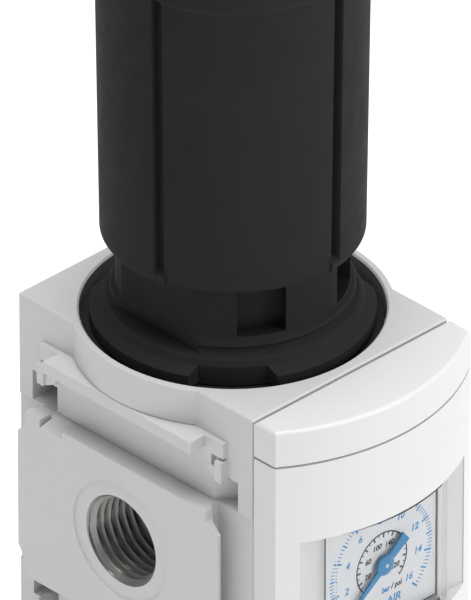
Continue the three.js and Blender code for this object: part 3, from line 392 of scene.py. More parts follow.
def moulded(name, colour, variation, rough, grain, depth, specular=0.5):
    """A moulded or painted skin: slow drift of the colour, fine grain and a soft uneven gloss."""
    drift_per_metre, gloss_per_metre, coarse = 55, 420, 0.12
    m = Nodes(name)
    drift = m.noise(drift_per_metre, 4)
    m.base(m.ramp(drift, tinted(colour, 1 - variation), tinted(colour, 1 + variation)))
    m.rough(m.ramp(m.noise(gloss_per_metre, 3), rough[0], rough[1]))
    m.bump([(m.noise(grain, 2, 0.5), depth), (m.noise(grain * coarse, 3), depth * 1.5)])
    m.shader.inputs["Specular IOR Level"].default_value = specular
    return m.material


def metal(name, colour, rough, turned_marks=6000, depth=0.004):
    """Machined metal with fine marks."""
    m = Nodes(name)
    marks = m.noise(1, 4, 0.6, m.stretched((turned_marks, 300, 300)))
    m.base(m.ramp(marks, tinted(colour, 0.86), tinted(colour, 1.06)))
    m.rough(m.ramp(marks, rough[0], rough[1]))
    m.bump([(marks, depth)])
    m.shader.inputs["Metallic"].default_value = 1
    return m.material


def clear_plastic(name):
    m = Nodes(name)
    m.base(m.ramp(m.noise(90, 2), (0.975, 0.985, 0.99), (0.99, 0.995, 1.0)))
    m.rough(m.ramp(m.noise(300, 3), 0.03, 0.06))
    m.bump([(m.noise(60, 2), 0.004)])
    m.shader.inputs["Transmission Weight"].default_value = 1
    m.shader.inputs["IOR"].default_value = 1.13
    return m.material


def ink(name, colour):
    """Printed ink with slightly uneven cover."""
    m = Nodes(name)
    m.base(m.ramp(m.noise(1800, 2), tinted(colour, 0.9), tinted(colour, 1.12)))
    m.rough(m.ramp(m.noise(900, 2), 0.45, 0.6))
    m.bump([(m.noise(2500, 2), 0.002)])
    return m.material


grey_paint = moulded("grey_paint", (0.585, 0.575, 0.578), 0.012, (0.42, 0.52), 5200, 0.010)
white_plastic = moulded("white_plastic", (0.675, 0.675, 0.675), 0.008, (0.38, 0.46), 4200, 0.005)
# A darker copy of the white plastic: painted shade for the recessed flats beside the gauge.
window_shade_white = moulded("window_shade_white", (0.57, 0.57, 0.57), 0.01, (0.5, 0.6), 4200, 0.005, 0.3)
black_plastic = moulded("black_plastic", (0.020, 0.019, 0.018), 0.08, (0.64, 0.76), 4500, 0.008, 0.08)
case_black = moulded("case_black", (0.012, 0.012, 0.012), 0.08, (0.5, 0.6), 4500, 0.008)
dial_white = moulded("dial_white", (0.70, 0.71, 0.722), 0.006, (0.4, 0.5), 2600, 0.002)
needle_blue = moulded("needle_blue", (0.03, 0.225, 0.45), 0.05, (0.4, 0.5), 3000, 0.002)
bare_metal = metal("bare_metal", (0.30, 0.295, 0.285), (0.42, 0.55))
steel = metal("steel", (0.56, 0.56, 0.565), (0.25, 0.38), 400)
brass = metal("brass", (0.62, 0.44, 0.17), (0.24, 0.36), 400)
gasket_brown = moulded("gasket_brown", (0.045, 0.036, 0.030), 0.08, (0.5, 0.6), 2500, 0.004, 0.3)
rubber = moulded("rubber", (0.012, 0.012, 0.012), 0.1, (0.6, 0.75), 2500, 0.01, 0.3)
clear_lens = clear_plastic("clear_lens")
blue_ink = ink("blue_ink", (0.04, 0.27, 0.56))
black_ink = ink("black_ink", (0.025, 0.025, 0.028))


# ---- Housing ----


def drop(distance):
    """A height counted down from the housing's top."""
    return TOP - distance


def from_base(distance):
    """A height counted up from the housing's underside."""
    return BASE + distance


def rail_with_hooks(side, place):
    """The clamp rail on one side wall and the hook beyond each of its ends."""
    root = SIDE - 1
    start = COLLAR_HEIGHT

    def piece(reach, y0, y1, upper, lower, edge=0.12):
        outer = side * (SIDE + reach)
        return block(side * root, outer, y0, y1, place(start + upper), place(start + lower), edge)

    lip = piece(RAIL_REACH, -RAIL_HALF_LENGTH, RAIL_HALF_LENGTH, 0, RAIL_THICKNESS, 0.2)
    pieces = []
    for end in (-1, 1):
        y = RAIL_HALF_LENGTH
        arm = piece(0.75, end * (y - 1), end * (y + 3.4), 0, 2.4)
        post = piece(0.75, end * y, end * (y + 1.2), 1.5, 4.9)
        catch = piece(1.25, end * (y + 2.2), end * (y + 3.5), 2.8, 6)
        pieces += [arm, post, catch]
        link = rounded([
            (end * (y + 0.2), place(start + 3.9), 0.1), (end * (y + 3.3), place(start + 4.7), 0.1),
            (end * (y + 3.3), place(start + 6), 0.1), (end * (y + 2.2), place(start + 6), 0.1),
            (end * (y + 0.2), place(start + 5), 0.1),
        ])
        ends = sorted((side * root, side * (SIDE + 0.85)))
        pieces.append(prism(link, *ends, "x", 0.08, 0.08))
    return lip, pieces


def clamp_pockets(side, place):
    """The dark pocket beside each hook, and the hollow that leads into it."""
    cutters = []
    for end in (-1, 1):
        upright = [
            (side * (SIDE - POCKET_DEPTH), end * POCKET_NEAR), (side * (SIDE + 1), end * POCKET_NEAR),
            (side * (SIDE + 1), end * POCKET_FAR), (side * (SIDE - POCKET_DEPTH), end * POCKET_FAR),
        ]
        hollow = [
            (side * (SIDE + 0.02), end * HOLLOW_START), (side * (SIDE - 3), end * (POCKET_NEAR + 0.2)),
            (side * (SIDE - 3), end * (POCKET_FAR - 0.2)), (side * (SIDE + 1), end * POCKET_FAR),
            (side * (SIDE + 1), end * HOLLOW_START),
        ]
        for plan, upper in ((upright, POCKET_TOP), (hollow, HOLLOW_TOP)):
            ends = sorted((place(upper), place(POCKET_FLOOR)))
            cutters.append(prism(rounded([(*p, 0.1) for p in plan]), *ends))
    return cutters


def port_pad(side):
    """The raised pad round a port, with a bevelled lip along its front and rear."""
    upper, lower = drop(PAD_TOP), drop(PAD_BOTTOM)
    face = SIDE + PAD_REACH
    lip_root = face - PAD_BEVEL - PAD_LIP_THICKNESS
    plan = [
        (SIDE - 1, -PAD_FRONT + PAD_INSET), (lip_root - PAD_SHOULDER, -PAD_FRONT + PAD_INSET),
        (lip_root, -PAD_FRONT - 0.3, 0.3), (lip_root, -PAD_FRONT - PAD_LIP, 0.1),
        (face - PAD_BEVEL, -PAD_FRONT - PAD_LIP, 0.15), (face, -PAD_FRONT, 0.3), (face, PAD_REAR, 0.3),
        (face - PAD_BEVEL, PAD_REAR + PAD_LIP, 0.15), (lip_root, PAD_REAR + PAD_LIP, 0.1),
        (lip_root, PAD_REAR + 0.3, 0.3), (lip_root - PAD_SHOULDER, PAD_REAR - PAD_INSET),
        (SIDE - 1, PAD_REAR - PAD_INSET),
    ]
    mirrored = [(side * p[0], *p[1:]) for p in plan]
    pad = prism(rounded(mirrored), lower, upper, "z", 0.12, 0.12)
    start = 1.5  # where the lip's cut corner begins, in from the pad's end
    full = start + PAD_LIP
    lower_rear, upper_rear = 0.9, 0.6  # how much further in the rear lip's corners begin
    outline = [
        (-PAD_FRONT, upper), (-PAD_FRONT, upper - start), (-PAD_FRONT - PAD_LIP, upper - full),
        (-PAD_FRONT - PAD_LIP, lower + full), (-PAD_FRONT, lower + start), (-PAD_FRONT, lower),
        (PAD_REAR, lower), (PAD_REAR, lower + start + lower_rear),
        (PAD_REAR + PAD_LIP, lower + full + lower_rear), (PAD_REAR + PAD_LIP, upper - full - upper_rear),
        (PAD_REAR, upper - start - upper_rear), (PAD_REAR, upper),
    ]
    reach = sorted((side * (SIDE - 2), side * (face + 1)))
    return common(pad, prism([Vector(p) for p in outline], *reach, "x"))


def pad_cuts(side):
    """The sloped notch and the wedge at its end, in the pad's upper edge near the rear."""
    face = SIDE + PAD_REACH
    over = 0.3  # past the pad's surface
    notch_start, notch_end, notch_depth = 11, 15.25, 1.25
    wedge_start, wedge_depth = 14.4, 1.35
    slope = [
        (side * (SIDE + 0.5), drop(PAD_TOP - over)), (side * (SIDE + 0.5), drop(PAD_TOP + 0.1)),
        (side * (face + over), drop(PAD_TOP + notch_depth)), (side * (face + over), drop(PAD_TOP - over)),
    ]
    wedge = [
        (notch_end, drop(PAD_TOP + wedge_depth)), (notch_end, drop(PAD_TOP - over)),
        (wedge_start, drop(PAD_TOP - over)),
    ]
    reach = sorted((side * (SIDE + 0.9), side * (face + over)))
    return [
        prism([Vector(p) for p in slope], notch_start, notch_end, "y"),
        prism([Vector(p) for p in wedge], *reach, "x"),
    ]


def thread_cutter(side):
    """The space of a threaded port: spot face, mouth chamfer, helical thread and blind end."""
    face = SIDE + PAD_REACH
    around, per_pitch = 72, 10
    spread, shift = 1.35, 0.175  # widen the flats on the thread's crests and roots
    mouth_slope = 0.95
    rows = ceil((PORT_DEPTH - PORT_SPOT_DEPTH) / THREAD_PITCH * per_pitch)
    loops = []

    def ring_at(depth, radius_of):
        x = side * (face - depth)
        loop = []
        for k in range(around):
            angle = 2 * pi * k / around
            radius = radius_of(angle)
            loop.append((x, radius * cos(angle), drop(PORT_DROP) + radius * sin(angle)))
        loops.append(loop)

    rim = PORT_SPOT_RADIUS + 0.1
    for depth, radius in ((-1, rim), (0, rim), (PORT_SPOT_DEPTH, PORT_SPOT_RADIUS)):
        ring_at(depth, lambda angle, r=radius: r)
    ring_at(PORT_SPOT_DEPTH + 0.001, lambda angle: PORT_MOUTH_RADIUS)
    for row in range(1, rows + 1):
        depth = PORT_SPOT_DEPTH + row * THREAD_PITCH / per_pitch

        def radius_of(angle, depth=depth):
            phase = (side * angle / (2 * pi) + depth / THREAD_PITCH) % 1
            wave = max(0, min(1, abs(phase - 0.5) * 2 * spread - shift))
            thread = THREAD_ROOT + (THREAD_CREST - THREAD_ROOT) * wave
            chamfer = PORT_MOUTH_RADIUS - (depth - PORT_SPOT_DEPTH) * mouth_slope
            return max(thread, chamfer)

        ring_at(depth, radius_of)
    end = PORT_SPOT_DEPTH + rows * THREAD_PITCH / per_pitch
    ring_at(end + 0.05, lambda angle: THREAD_CREST)
    ring_at(end + DRILL_POINT, lambda angle: THREAD_CREST - 2 * DRILL_POINT)
    return loft(loops)


def inner_space():
    """The stepped bore down through the housing, from the well to the bottom plug."""
    guide_low, guide_high = box_mm("stem_guide")
    seat_low, seat_high = box_mm("valve_seat")
    chamber, valve_room = 14.5, 8
    guide = guide_high.x + GAP
    seat = seat_high.x + GAP
    plug = box_mm("plug_seal")[1].x + GAP
    flare = 0.25
    profile = [
        (0, TOP + 1), (WELL_RADIUS + flare, TOP + 1), (WELL_RADIUS + flare, TOP), (WELL_RADIUS, TOP - flare),
        (WELL_RADIUS, TOP - WELL_DEPTH), (chamber, TOP - WELL_DEPTH), (chamber, guide_high.z),
        (guide, guide_high.z), (guide, guide_low.z), (valve_room, guide_low.z), (valve_room, seat_high.z),
        (seat, seat_high.z), (seat, seat_low.z), (valve_room, seat_low.z), (valve_room, foot_high.z + GAP),
        (plug, foot_high.z + GAP), (plug, BASE - 1), (0, BASE - 1),
    ]
    return turned(profile, 144)


def housing():
    wall = SIDE - BAND_STEP
    upper, lower = drop(BAND_HEIGHT), from_base(BAND_HEIGHT)
    body = block(-wall, wall, FRONT, BACK, BASE, TOP, CAST_EDGE)
    join(
        body,
        block(-SIDE, SIDE, FRONT, BACK, upper, TOP, CAST_EDGE),
        block(-SIDE, SIDE, FRONT, BACK, BASE, lower, CAST_EDGE),
        bar(COLLAR_RADIUS, drop(COLLAR_HEIGHT), TOP, edge=0.22, sides=160),
    )
    for side in (-1, 1):
        for place in (drop, from_base):
            lip, hooks = rail_with_hooks(side, place)
            cut(body, *clamp_pockets(side, place))
            join(body, lip, *hooks)
        join(body, port_pad(side))
        cut(body, *pad_cuts(side), thread_cutter(side))
    cut(body, inner_space())
    stem = box_mm("gauge_stem")[1]
    plug_low, plug_high = box_mm("rear_plug")
    head, bore = plug_high.x + GAP, stem.x + GAP * 5
    seat, mouth = BACK - 1.8, 0.25  # where the stopper's head rests, and the widening at the surface
    room = [
        (0, plug_low.y - 1), (bore, plug_low.y - 1), (bore, seat), (head, seat), (head, BACK - 0.2),
        (head + mouth, BACK + 0.01), (head + mouth, BACK + 1), (0, BACK + 1),
    ]
    cut(
        body,
        bar(stem.x + GAP, FRONT - 1, FRONT + 8, "y", (0, GAUGE_Z), sides=32),
        turned(room, 64, "y", (0, GAUGE_Z)),
    )
    for x, z in screw_places():
        cut(body, bar(1.2, FRONT - 1, FRONT + 6, "y", (x, z), sides=24))
    finish(body, "housing_casting", [grey_paint, bare_metal], "housing", ["housing"])
    face = SIDE + PAD_REACH
    for polygon in body.data.polygons:
        middle = polygon.center / MM
        away = hypot(middle.y, middle.z - drop(PORT_DROP))
        across = abs(middle.x)
        machined = away < PORT_MOUTH_RADIUS + 0.02 and 5 < across < face - PORT_SPOT_DEPTH - 0.002
        polygon.material_index = 1 if machined else 0
    return body


def screw_places():
    """Where the two gauge screws are, across and up."""
    places = []
    for name in ("gauge_screw_1", "gauge_screw_2"):
        low, high = box_mm(name)
        places.append(((low.x + high.x) / 2, (low.z + high.z) / 2))
    return places


# ---- Front cover and lid ----


def cover_plan(distance):
    """The cover's outline from above, drawn in by a distance: straight sides and an arched front."""
    corner = FRONT - COVER_SIDE
    radius = (SIDE ** 2 + COVER_CROWN ** 2) / (2 * COVER_CROWN)
    centre = corner - COVER_CROWN + radius
    arc, x = radius - distance, SIDE - distance
    reach = asin((x - COVER_TURN) / arc)
    back = FRONT - GAP - distance
    turn = -centre + sqrt(arc ** 2 - (x - COVER_TURN) ** 2)
    points = [(x, back), (-x, back), (-x, -turn + 0.45), (-x + 0.08, -turn + 0.16)]
    steps = 45
    for k in range(steps + 1):
        angle = -pi / 2 - reach + 2 * reach * k / steps
        points.append((arc * cos(angle), centre + arc * sin(angle)))
    points += [(x - 0.08, -turn + 0.16), (x, -turn + 0.45)]
    return [Vector(p) for p in points]


def cover_prism(distance, low, high, low_edge=0, high_edge=0, steps=3):
    """A solid of the cover's outline, drawn in by a distance."""
    def drawn(start, more):
        return cover_plan(start + more)

    return prism(distance, low, high, "z", low_edge, high_edge, steps, drawn)


def front_cover():
    top = cover_high.z
    roof, backing, margin = 1.2, 1.2, 1.5
    flat = FRONT - COVER_SIDE - WINDOW_FLAT
    window_top, window_bottom = drop(WINDOW_TOP), drop(WINDOW_BOTTOM)
    shell = cover_prism(0, BASE, top, 0.35, 0.12)
    cut(shell, cover_prism(COVER_WALL, BASE + COVER_WALL, top - roof))

    def behind_window(x0, x1, upper):
        """A block behind the window's flats, kept within the cover's outline."""
        part = block(x0, x1, flat + backing, -BEYOND, window_bottom - margin, upper, 0.01)
        return common(part, cover_prism(0, BASE, top))

    inner = lens_high.x + GAP / 2
    for side in (-1, 1):
        join(shell, behind_window(side * inner, side * (SIDE - 1), window_top + margin))
    join(shell, behind_window(-inner, inner, window_bottom))
    half = WINDOW_HALF_WIDTH
    cut(shell, block(-half, half, flat, -BEYOND, window_bottom, window_top, 0.02, "y"))
    faces = [white_plastic, window_shade_white]
    finish(shell, "front_cover_shell", faces, "housing", ["front_cover"])
    # The flats beside the gauge take the darker copy of the white plastic, painted shade for their recess.
    for polygon in shell.data.polygons:
        level = abs(polygon.center.y / MM - flat) < 0.01
        polygon.material_index = 1 if level and polygon.normal.y < -0.99 else 0
    return shell


def cover_lid():
    roof = 1.6
    lid = cover_prism(0, lid_low.z, TOP, 0.12, 0.55, 4)
    cut(lid, cover_prism(COVER_WALL, lid_low.z - 1, TOP - roof))
    return finish(lid, "cover_lid_shell", [white_plastic], "housing", ["cover_lid"])


# ---- Gauge ----


def gauge_dial():
    plate = block(dial_low.x, dial_high.x, dial_low.y, dial_high.y, dial_low.z, dial_high.z, 0.12, "y")
    cut(plate, bar(0.9, dial_low.y - 1, dial_high.y + 1, "y", (0, GAUGE_Z), sides=32))
    return finish(plate, "dial_plate", [dial_white], "housing", ["gauge_dial"])


INK = 0.03  # thickness of the printing
FONT_SIZE = 1.38  # of a letter against its capital height
SLANT = 0.2


def printed(name, outlines, material):
    """Flat closed shapes printed on the dial, each from its corners across and up."""
    points, faces = [], []
    for outline in outlines:
        first, count = len(points), len(outline)
        for y in (dial_low.y + 0.01, dial_low.y - INK):
            points += [(x, y, GAUGE_Z + z) for x, z in outline]
        faces.append([first + i for i in range(count)])
        faces.append([first + count + i for i in range(count)])
        for i in range(count):
            j = (i + 1) % count
            faces.append([first + i, first + j, first + count + j, first + count + i])
    piece = mesh_piece(name, points, faces)
    return finish(piece, name, [material], "housing", ())


def scale_angle(share):
    """The direction of a share of full scale, anticlockwise from the right as the dial is read."""
    return radians(90 + DIAL_SWEEP / 2 - DIAL_SWEEP * share)


def tick(share, inner, outer, width):
    """A radial bar on the scale."""
    angle = scale_angle(share)
    along, across = Vector((cos(angle), sin(angle))), Vector((-sin(angle), cos(angle))) * width / 2
    return [tuple(along * inner - across), tuple(along * outer - across),
            tuple(along * outer + across), tuple(along * inner + across)]


def scale_line(radius, width, low=0.0, high=1.0, steps=90):
    """Short straight stretches that make up an arc of the scale."""
    shapes = []
    for k in range(steps):
        a = scale_angle(low + (high - low) * k / steps)
        b = scale_angle(low + (high - low) * (k + 1) / steps)
        shapes.append([
            (r * cos(t), r * sin(t))
            for r, t in ((radius - width, a), (radius, a), (radius, b), (radius - width, b))
        ])
    return shapes


def lettering(name, lines, material):
    """Raised flat letters on the dial from (text, across, up, height) rows, joined as one mesh."""
    texts = []
    for text, x, z, height in lines:
        curve = bpy.data.curves.new(name, "FONT")
        curve.body = text
        curve.align_x = "CENTER"
        curve.align_y = "CENTER"
        curve.size = height * FONT_SIZE * MM
        curve.shear = SLANT
        curve.extrude = INK * MM / 2
        curve.offset = 0.03 * MM  # thickens the strokes
        curve.resolution_u = 3
        letters = bpy.data.objects.new(name, curve)
        bpy.context.scene.collection.objects.link(letters)
        turn = Matrix.Rotation(radians(90), 4, "X")
        letters.matrix_world = Matrix.Translation(Vector((x, dial_low.y - INK / 2, GAUGE_Z + z)) * MM) @ turn
        texts.append(letters)
    bpy.context.view_layer.update()
    shape = bmesh.new()
    for letters in texts:
        shown = letters.evaluated_get(bpy.context.evaluated_depsgraph_get())
        mesh = bpy.data.meshes.new_from_object(shown)
        mesh.transform(letters.matrix_world)
        shape.from_mesh(mesh)
        bpy.data.objects.remove(letters)
    bmesh.ops.remove_doubles(shape, verts=shape.verts, dist=1e-7)
    bmesh.ops.recalc_face_normals(shape, faces=shape.faces)
    mesh = bpy.data.meshes.new(name)
    shape.to_mesh(mesh)
    shape.free()
    piece = bpy.data.objects.new(name, mesh)
    bpy.context.scene.collection.objects.link(piece)
    return finish(piece, name, [material], "housing", ())


def dial_printing():
    outer, ring_radius = 9.35, 4.73
    parts_per_bar = 5
    bars = []
    for k in range(FULL_SCALE_BAR * parts_per_bar + 1):
        share = k / (FULL_SCALE_BAR * parts_per_bar)
        whole = k % parts_per_bar == 0
        even = k % (2 * parts_per_bar) == 0
        length = 1.25 if even else 1.0 if whole else 0.75
        width = 0.3 if even else 0.24 if whole else 0.12
        bars.append(tick(share, outer - length, outer, width))
    printed("bar_scale", bars, blue_ink)
    full_psi = FULL_SCALE_BAR * PSI_PER_BAR
    psi = scale_line(ring_radius, 0.2)
    for value in range(0, int(full_psi) + 1, 10):
        major = value % 20 == 0
        length, width = (0.8, 0.24) if major else (0.55, 0.13)
        psi.append(tick(value / full_psi, ring_radius - length, ring_radius, width))
    printed("psi_scale", psi, black_ink)

    def around(values, full, radius, height, ahead=0):
        rows = []
        for value in values:
            angle = scale_angle(value / full) + radians(ahead)
            rows.append((str(value), radius * cos(angle), radius * sin(angle), height))
        return rows

    bar_figures = around(range(2, FULL_SCALE_BAR + 1, 2), FULL_SCALE_BAR, 6.75, 1.05, 3)
    psi_figures = around(range(20, 221, 40), full_psi, 2.85, 0.8)
    for name, lines, material, slot in (
        ("bar_figures", bar_figures, blue_ink, "needle_blue"),
        ("psi_figures", psi_figures, black_ink, "black_plastic"),
        ("bar_word", [("bar", 0.75, -4.55, 0.85)], blue_ink, "needle_blue"),
        ("psi_word", [("/ psi", 2.75, -4.55, 0.85)], black_ink, "black_plastic"),
        ("medium_word", [("AIR", 2.2, -6.6, 1.3)], blue_ink, "needle_blue"),
    ):
        lettering(name, lines, material)


def needle():
    """The pointer with its hub and wide square tail."""
    length, tail = 8.2, 4.9
    node = nodes["gauge_needle"]
    corners = [node.matrix_world @ v.co / MM for v in node.data.vertices]
    across = [(corner.x, corner.z - GAUGE_Z) for corner in corners]
    reach = max(hypot(x, z) for x, z in across)
    tips = [(x, z) for x, z in across if hypot(x, z) > reach - 0.01]
    rest = atan2(sum(z for _, z in tips), sum(x for x, _ in tips))
    outline = rounded([
        (-tail, -0.9, 0.1), (-1.4, -0.6, 0.4), (0, -0.66), (1.4, -0.52), (length, -0.2, 0.12),
        (length, 0.2, 0.12), (1.4, 0.52), (0, 0.66), (-1.4, 0.6, 0.4), (-tail, 0.9, 0.1),
    ])
    spin = Matrix.Rotation(rest, 2)
    outline = [spin @ p + Vector((0, GAUGE_Z)) for p in outline]
    back = needle_high.y + 0.1
    blade = prism(outline, back - 0.32, back, "y", 0.06, 0.03, 2)
    hub = [
        (0, back - 0.5), (0.55, back - 0.5), (1.35, back - 0.44), (1.5, back - 0.34), (1.5, back), (0, back),
    ]
    join(blade, turned(hub, 48, "y", (0, GAUGE_Z)))
    finish(blade, "needle_pointer", [needle_blue], "needle", ["gauge_needle"])
    pin_end = [
        (0, back - 0.62), (0.22, back - 0.62), (0.3, back - 0.55), (0.3, back - 0.3), (0, back - 0.3),
    ]
    pin = turned(pin_end, 32, "y", (0, GAUGE_Z))
    finish(pin, "needle_pin", [steel], "needle", ())


def gauge_lens():
    wall = 0.6
    low, high = lens_low, lens_high
    shell = block(low.x, high.x, low.y, lens_rim, low.z, high.z, 0.12, "y")
    left, right, bottom, top = low.x + wall, high.x - wall, low.z + wall, high.z - wall
    cut(shell, block(left, right, low.y + wall, lens_rim + 3, bottom, top, 0.1, "y"))
    return finish(shell, "lens_cup", [clear_lens], "housing", ["gauge_lens"])


def window_seal():
    """A dark strip under the window's arched edge, before the lens: painted shade for the shaded gap under
    that edge. It thickens to the right.
    """
    loops = []
    steps = 30
    start, end = -9.8, 8.8
    thin, gain = 0.24, 0.36  # its drop below the window's top on the left, and how much more on the right
    front, back = 0.2, 0.5  # behind the cover's arch
    for k in range(steps + 1):
        share = k / steps
        x = start + (end - start) * share
        y = FRONT - COVER_SIDE - COVER_CROWN * (1 - (x / SIDE) ** 2)
        upper, lower = drop(WINDOW_TOP - 0.2), drop(WINDOW_TOP + thin + gain * share)
        loops.append([
            (x, y + front, upper), (x, y + front, lower), (x, y + back, lower), (x, y + back, upper),
        ])
    # The strip is given the rubber material as painted shade.
    return finish(loft(loops), "window_seal", [rubber], "housing", ())


def lens_gasket():
    """The dark strip round the dial's edge, between the case and the lens."""
    low, high = lens_low, lens_high
    back, front = dial_high.y, lens_rim + 0.02
    ring = block(low.x, high.x, front, back, low.z, high.z, 0.02, "y")
    edge = 0.09  # out from the dial's edge
    left, right, bottom, top = low.x + edge, high.x - edge, low.z + edge, high.z - edge
    cut(ring, block(left, right, front - 1, back + 1, bottom, top, 0.02, "y"))
    return finish(ring, "lens_gasket", [gasket_brown], "housing", ())


# ---- Bonnet ----


def bonnet():
    """The threaded-in bonnet: flange, bead and cone, and the neck inside the knob."""
    flange = bonnet_high.x
    bore, mouth = 10.8, 13.2
    knob_bottom = knob_low.z - TOP
    roof = bonnet_high.z - 3.6
    spindle_way = 5.3
    upper_neck = 15
    cone = 17.6  # radius where the cone begins, and how far in the flange's three notches go
    notch_angle = 105.6
    profile = [
        (mouth, bonnet_low.z), (flange, bonnet_low.z, 0.15), (flange, TOP + 0.4, 0.15),
        (cone, TOP + 1.35, 0.6), (17.25, TOP + 2.15, 0.25), (16.8, TOP + 2.5, 0.2),
        (16.15, TOP + 2.75, 0.25), (16.0, TOP + 3.3, 0.25), (16.4, TOP + 3.75, 0.28),
        (16.2, TOP + 4.3, 0.25), (NECK_RADIUS, TOP + 4.75, 0.3), (NECK_RADIUS, TOP + knob_bottom + 3),
        (upper_neck, TOP + knob_bottom + 4), (upper_neck, bonnet_high.z, 0.4),
        (spindle_way, bonnet_high.z), (spindle_way, roof), (bore, roof), (bore, TOP + 1.5),
        (mouth, TOP + 0.5),
    ]
    body = turned([tuple(p) for p in rounded(profile, 4)], 160)
    outside = 20  # past the flange
    for side in (-1, 1):
        bottom, top = TOP + 2.5, TOP + knob_bottom + 3.5
        cut(body, block(side * NECK_FLAT, side * outside, -9, 9, bottom, top, 0.05))
    half_window = 3.35
    for angle in (60, 120, 240, 300):
        window = block(13, 17.2, -half_window, half_window, TOP + 4.9, TOP + 14, 0.12)
        window.data.transform(Matrix.Rotation(radians(angle), 4, "Z"))
        cut(body, window)
    notch = [(cone, -15), (21, -21), (24, 0), (21, 21)]
    notch += [(cone, angle) for angle in range(15, -15, -5)]
    for turn in range(3):
        outline = []
        for radius, angle in notch:
            a = radians(angle + notch_angle + 120 * turn)
            outline.append(Vector((radius * cos(a), radius * sin(a))))
        cut(body, prism(outline, bonnet_low.z - 1, TOP + 3))
    detent_low, detent_high = box_mm("detent_ring")
    bottom, top, root = detent_low.z - GAP, detent_high.z + GAP, 14.3
    cut(body, turned([(root, bottom), (outside, bottom), (outside, top), (root, top)], 96))
    nut_low, nut_high = box_mm("spring_nut")
    half_slot, slot_start = 1.8, TOP + 20
    front, back = nut_low.y - GAP, nut_high.y + GAP
    cut(body, block(-half_slot, half_slot, front, back, slot_start, roof, 0.1))
    return finish(body, "bonnet_body", [black_plastic], "housing", ["bonnet"])


# ---- Knob ----


def smooth_step(x):
    x = max(0.0, min(1.0, x))
    return x * x * (3 - 2 * x)


def knob():
    """The tall knob: a slightly tapered drum with two shallow grip panels between narrow grooves."""
    low, high = knob_low.z, knob_high.z
    radius_top = knob_high.x
    draft = (radius_top - KNOB_RADIUS) / (high - low)
    panel_top = low + KNOB_PANEL_HEIGHT
    bottom_edge, top_edge = 0.7, 1.6
    ramp = 0.8  # degrees over which a groove's wall runs

    def groove_depth(angle):
        """How deep the surface lies below the drum at an angle, at full height of the panels."""
        deepest = 0
        for middle in (KNOB_PANEL_ANGLE, KNOB_PANEL_ANGLE + 180):
            off = abs((angle - middle + 180) % 360 - 180)
            panel = KNOB_PANEL_DEPTH * smooth_step((KNOB_PANEL_HALF - off) / ramp + 0.5)
            edge = abs(off - KNOB_PANEL_HALF)
            groove = KNOB_GROOVE_DEPTH * smooth_step((KNOB_GROOVE_HALF - edge) / ramp + 0.5)
            deepest = max(deepest, panel, groove)
        return deepest

    marks = set(range(0, 360, 3))
    offsets = (0, 0.6, 1.2, 1.5, 1.75, 2, 2.25, 2.5, 2.8, 3.2)  # degrees from a groove's middle
    for middle in (KNOB_PANEL_ANGLE, KNOB_PANEL_ANGLE + 180):
        for edge in (-KNOB_PANEL_HALF, KNOB_PANEL_HALF):
            for off in offsets:
                marks.add((middle + edge - off) % 360)
                marks.add((middle + edge + off) % 360)
    angles = sorted(marks)

    def is_groove(angle):
        return any(
            abs(abs((angle - m + 180) % 360 - 180) - KNOB_PANEL_HALF) < KNOB_GROOVE_HALF + 0.6
            for m in (KNOB_PANEL_ANGLE, KNOB_PANEL_ANGLE + 180)
        )

    heights = [low + bottom_edge * (1 - cos(radians(a))) for a in (0, 20, 45, 70, 90)]
    heights += [low + z for z in (1.0, 1.3, 1.6, 2.0, 2.6)]
    heights += [low + 4 + 5 * k for k in range(8)]
    heights += [panel_top + z for z in (-1.6, -1.2, -0.8, -0.5, -0.25, 0, 0.25, 0.5, 0.8, 1.6)]
    heights += [high - top_edge * (1 - sin(radians(a))) for a in (0, 22, 45, 68, 90)]
    heights = sorted(set(round(h, 4) for h in heights))
    loops = []
    for z in heights:
        round_off = 0
        if z < low + bottom_edge:
            round_off = bottom_edge - sqrt(max(0, bottom_edge ** 2 - (low + bottom_edge - z) ** 2))
        if z > high - top_edge:
            round_off = top_edge - sqrt(max(0, top_edge ** 2 - (z - high + top_edge) ** 2))
        loop = []
        for angle in angles:
            fade = smooth_step((panel_top - z) / 0.9 + 0.5)
            if is_groove(angle):
                fade *= smooth_step((z - low - 1.3) / 0.7)
            radius = KNOB_RADIUS + draft * (z - low) - round_off - groove_depth(angle) * fade
            loop.append((radius * cos(radians(angle)), radius * sin(radians(angle)), z))
        loops.append(loop)
    drum = loft(loops)
    roof = high - 3
    rim, inside = NECK_RADIUS + GAP, 16.1
    hub_low = box_mm("spindle_clip")[1].z + 1.2
    hub = 6.6
    cap_radius = box_mm("knob_cap")[1].x + GAP
    space = [
        (0, low - 1), (rim, low - 1), (rim, low + 2.5), (inside, low + 3), (inside, roof), (hub, roof),
        (hub, hub_low), (0, hub_low),
    ]
    cut(drum, turned(space, 96))
    socket = 7.6 / sqrt(3)  # from 7.6 across its flats
    cut(
        drum,
        bar(socket, hub_low - 1, roof + 0.4, sides=6),
        bar(cap_radius, box_mm("knob_cap")[0].z - GAP, high + 1, sides=96),
    )
    return finish(drum, "knob_drum", [black_plastic], "knob", ["knob"], 28)


def knob_cap():
    low, high = box_mm("knob_cap")
    cap = bar(high.x, low.z, high.z, edge=0.25, sides=96)
    floor = high.z - 0.35
    dish = [(0, high.z + 1), (8.5, high.z + 1), (8.5, high.z), (7.8, floor), (0, floor)]
    cut(cap, turned(dish, 96))
    return finish(cap, "knob_cap_disc", [black_plastic], "knob", ["knob_cap"])


# ---- Foot and rear plug ----


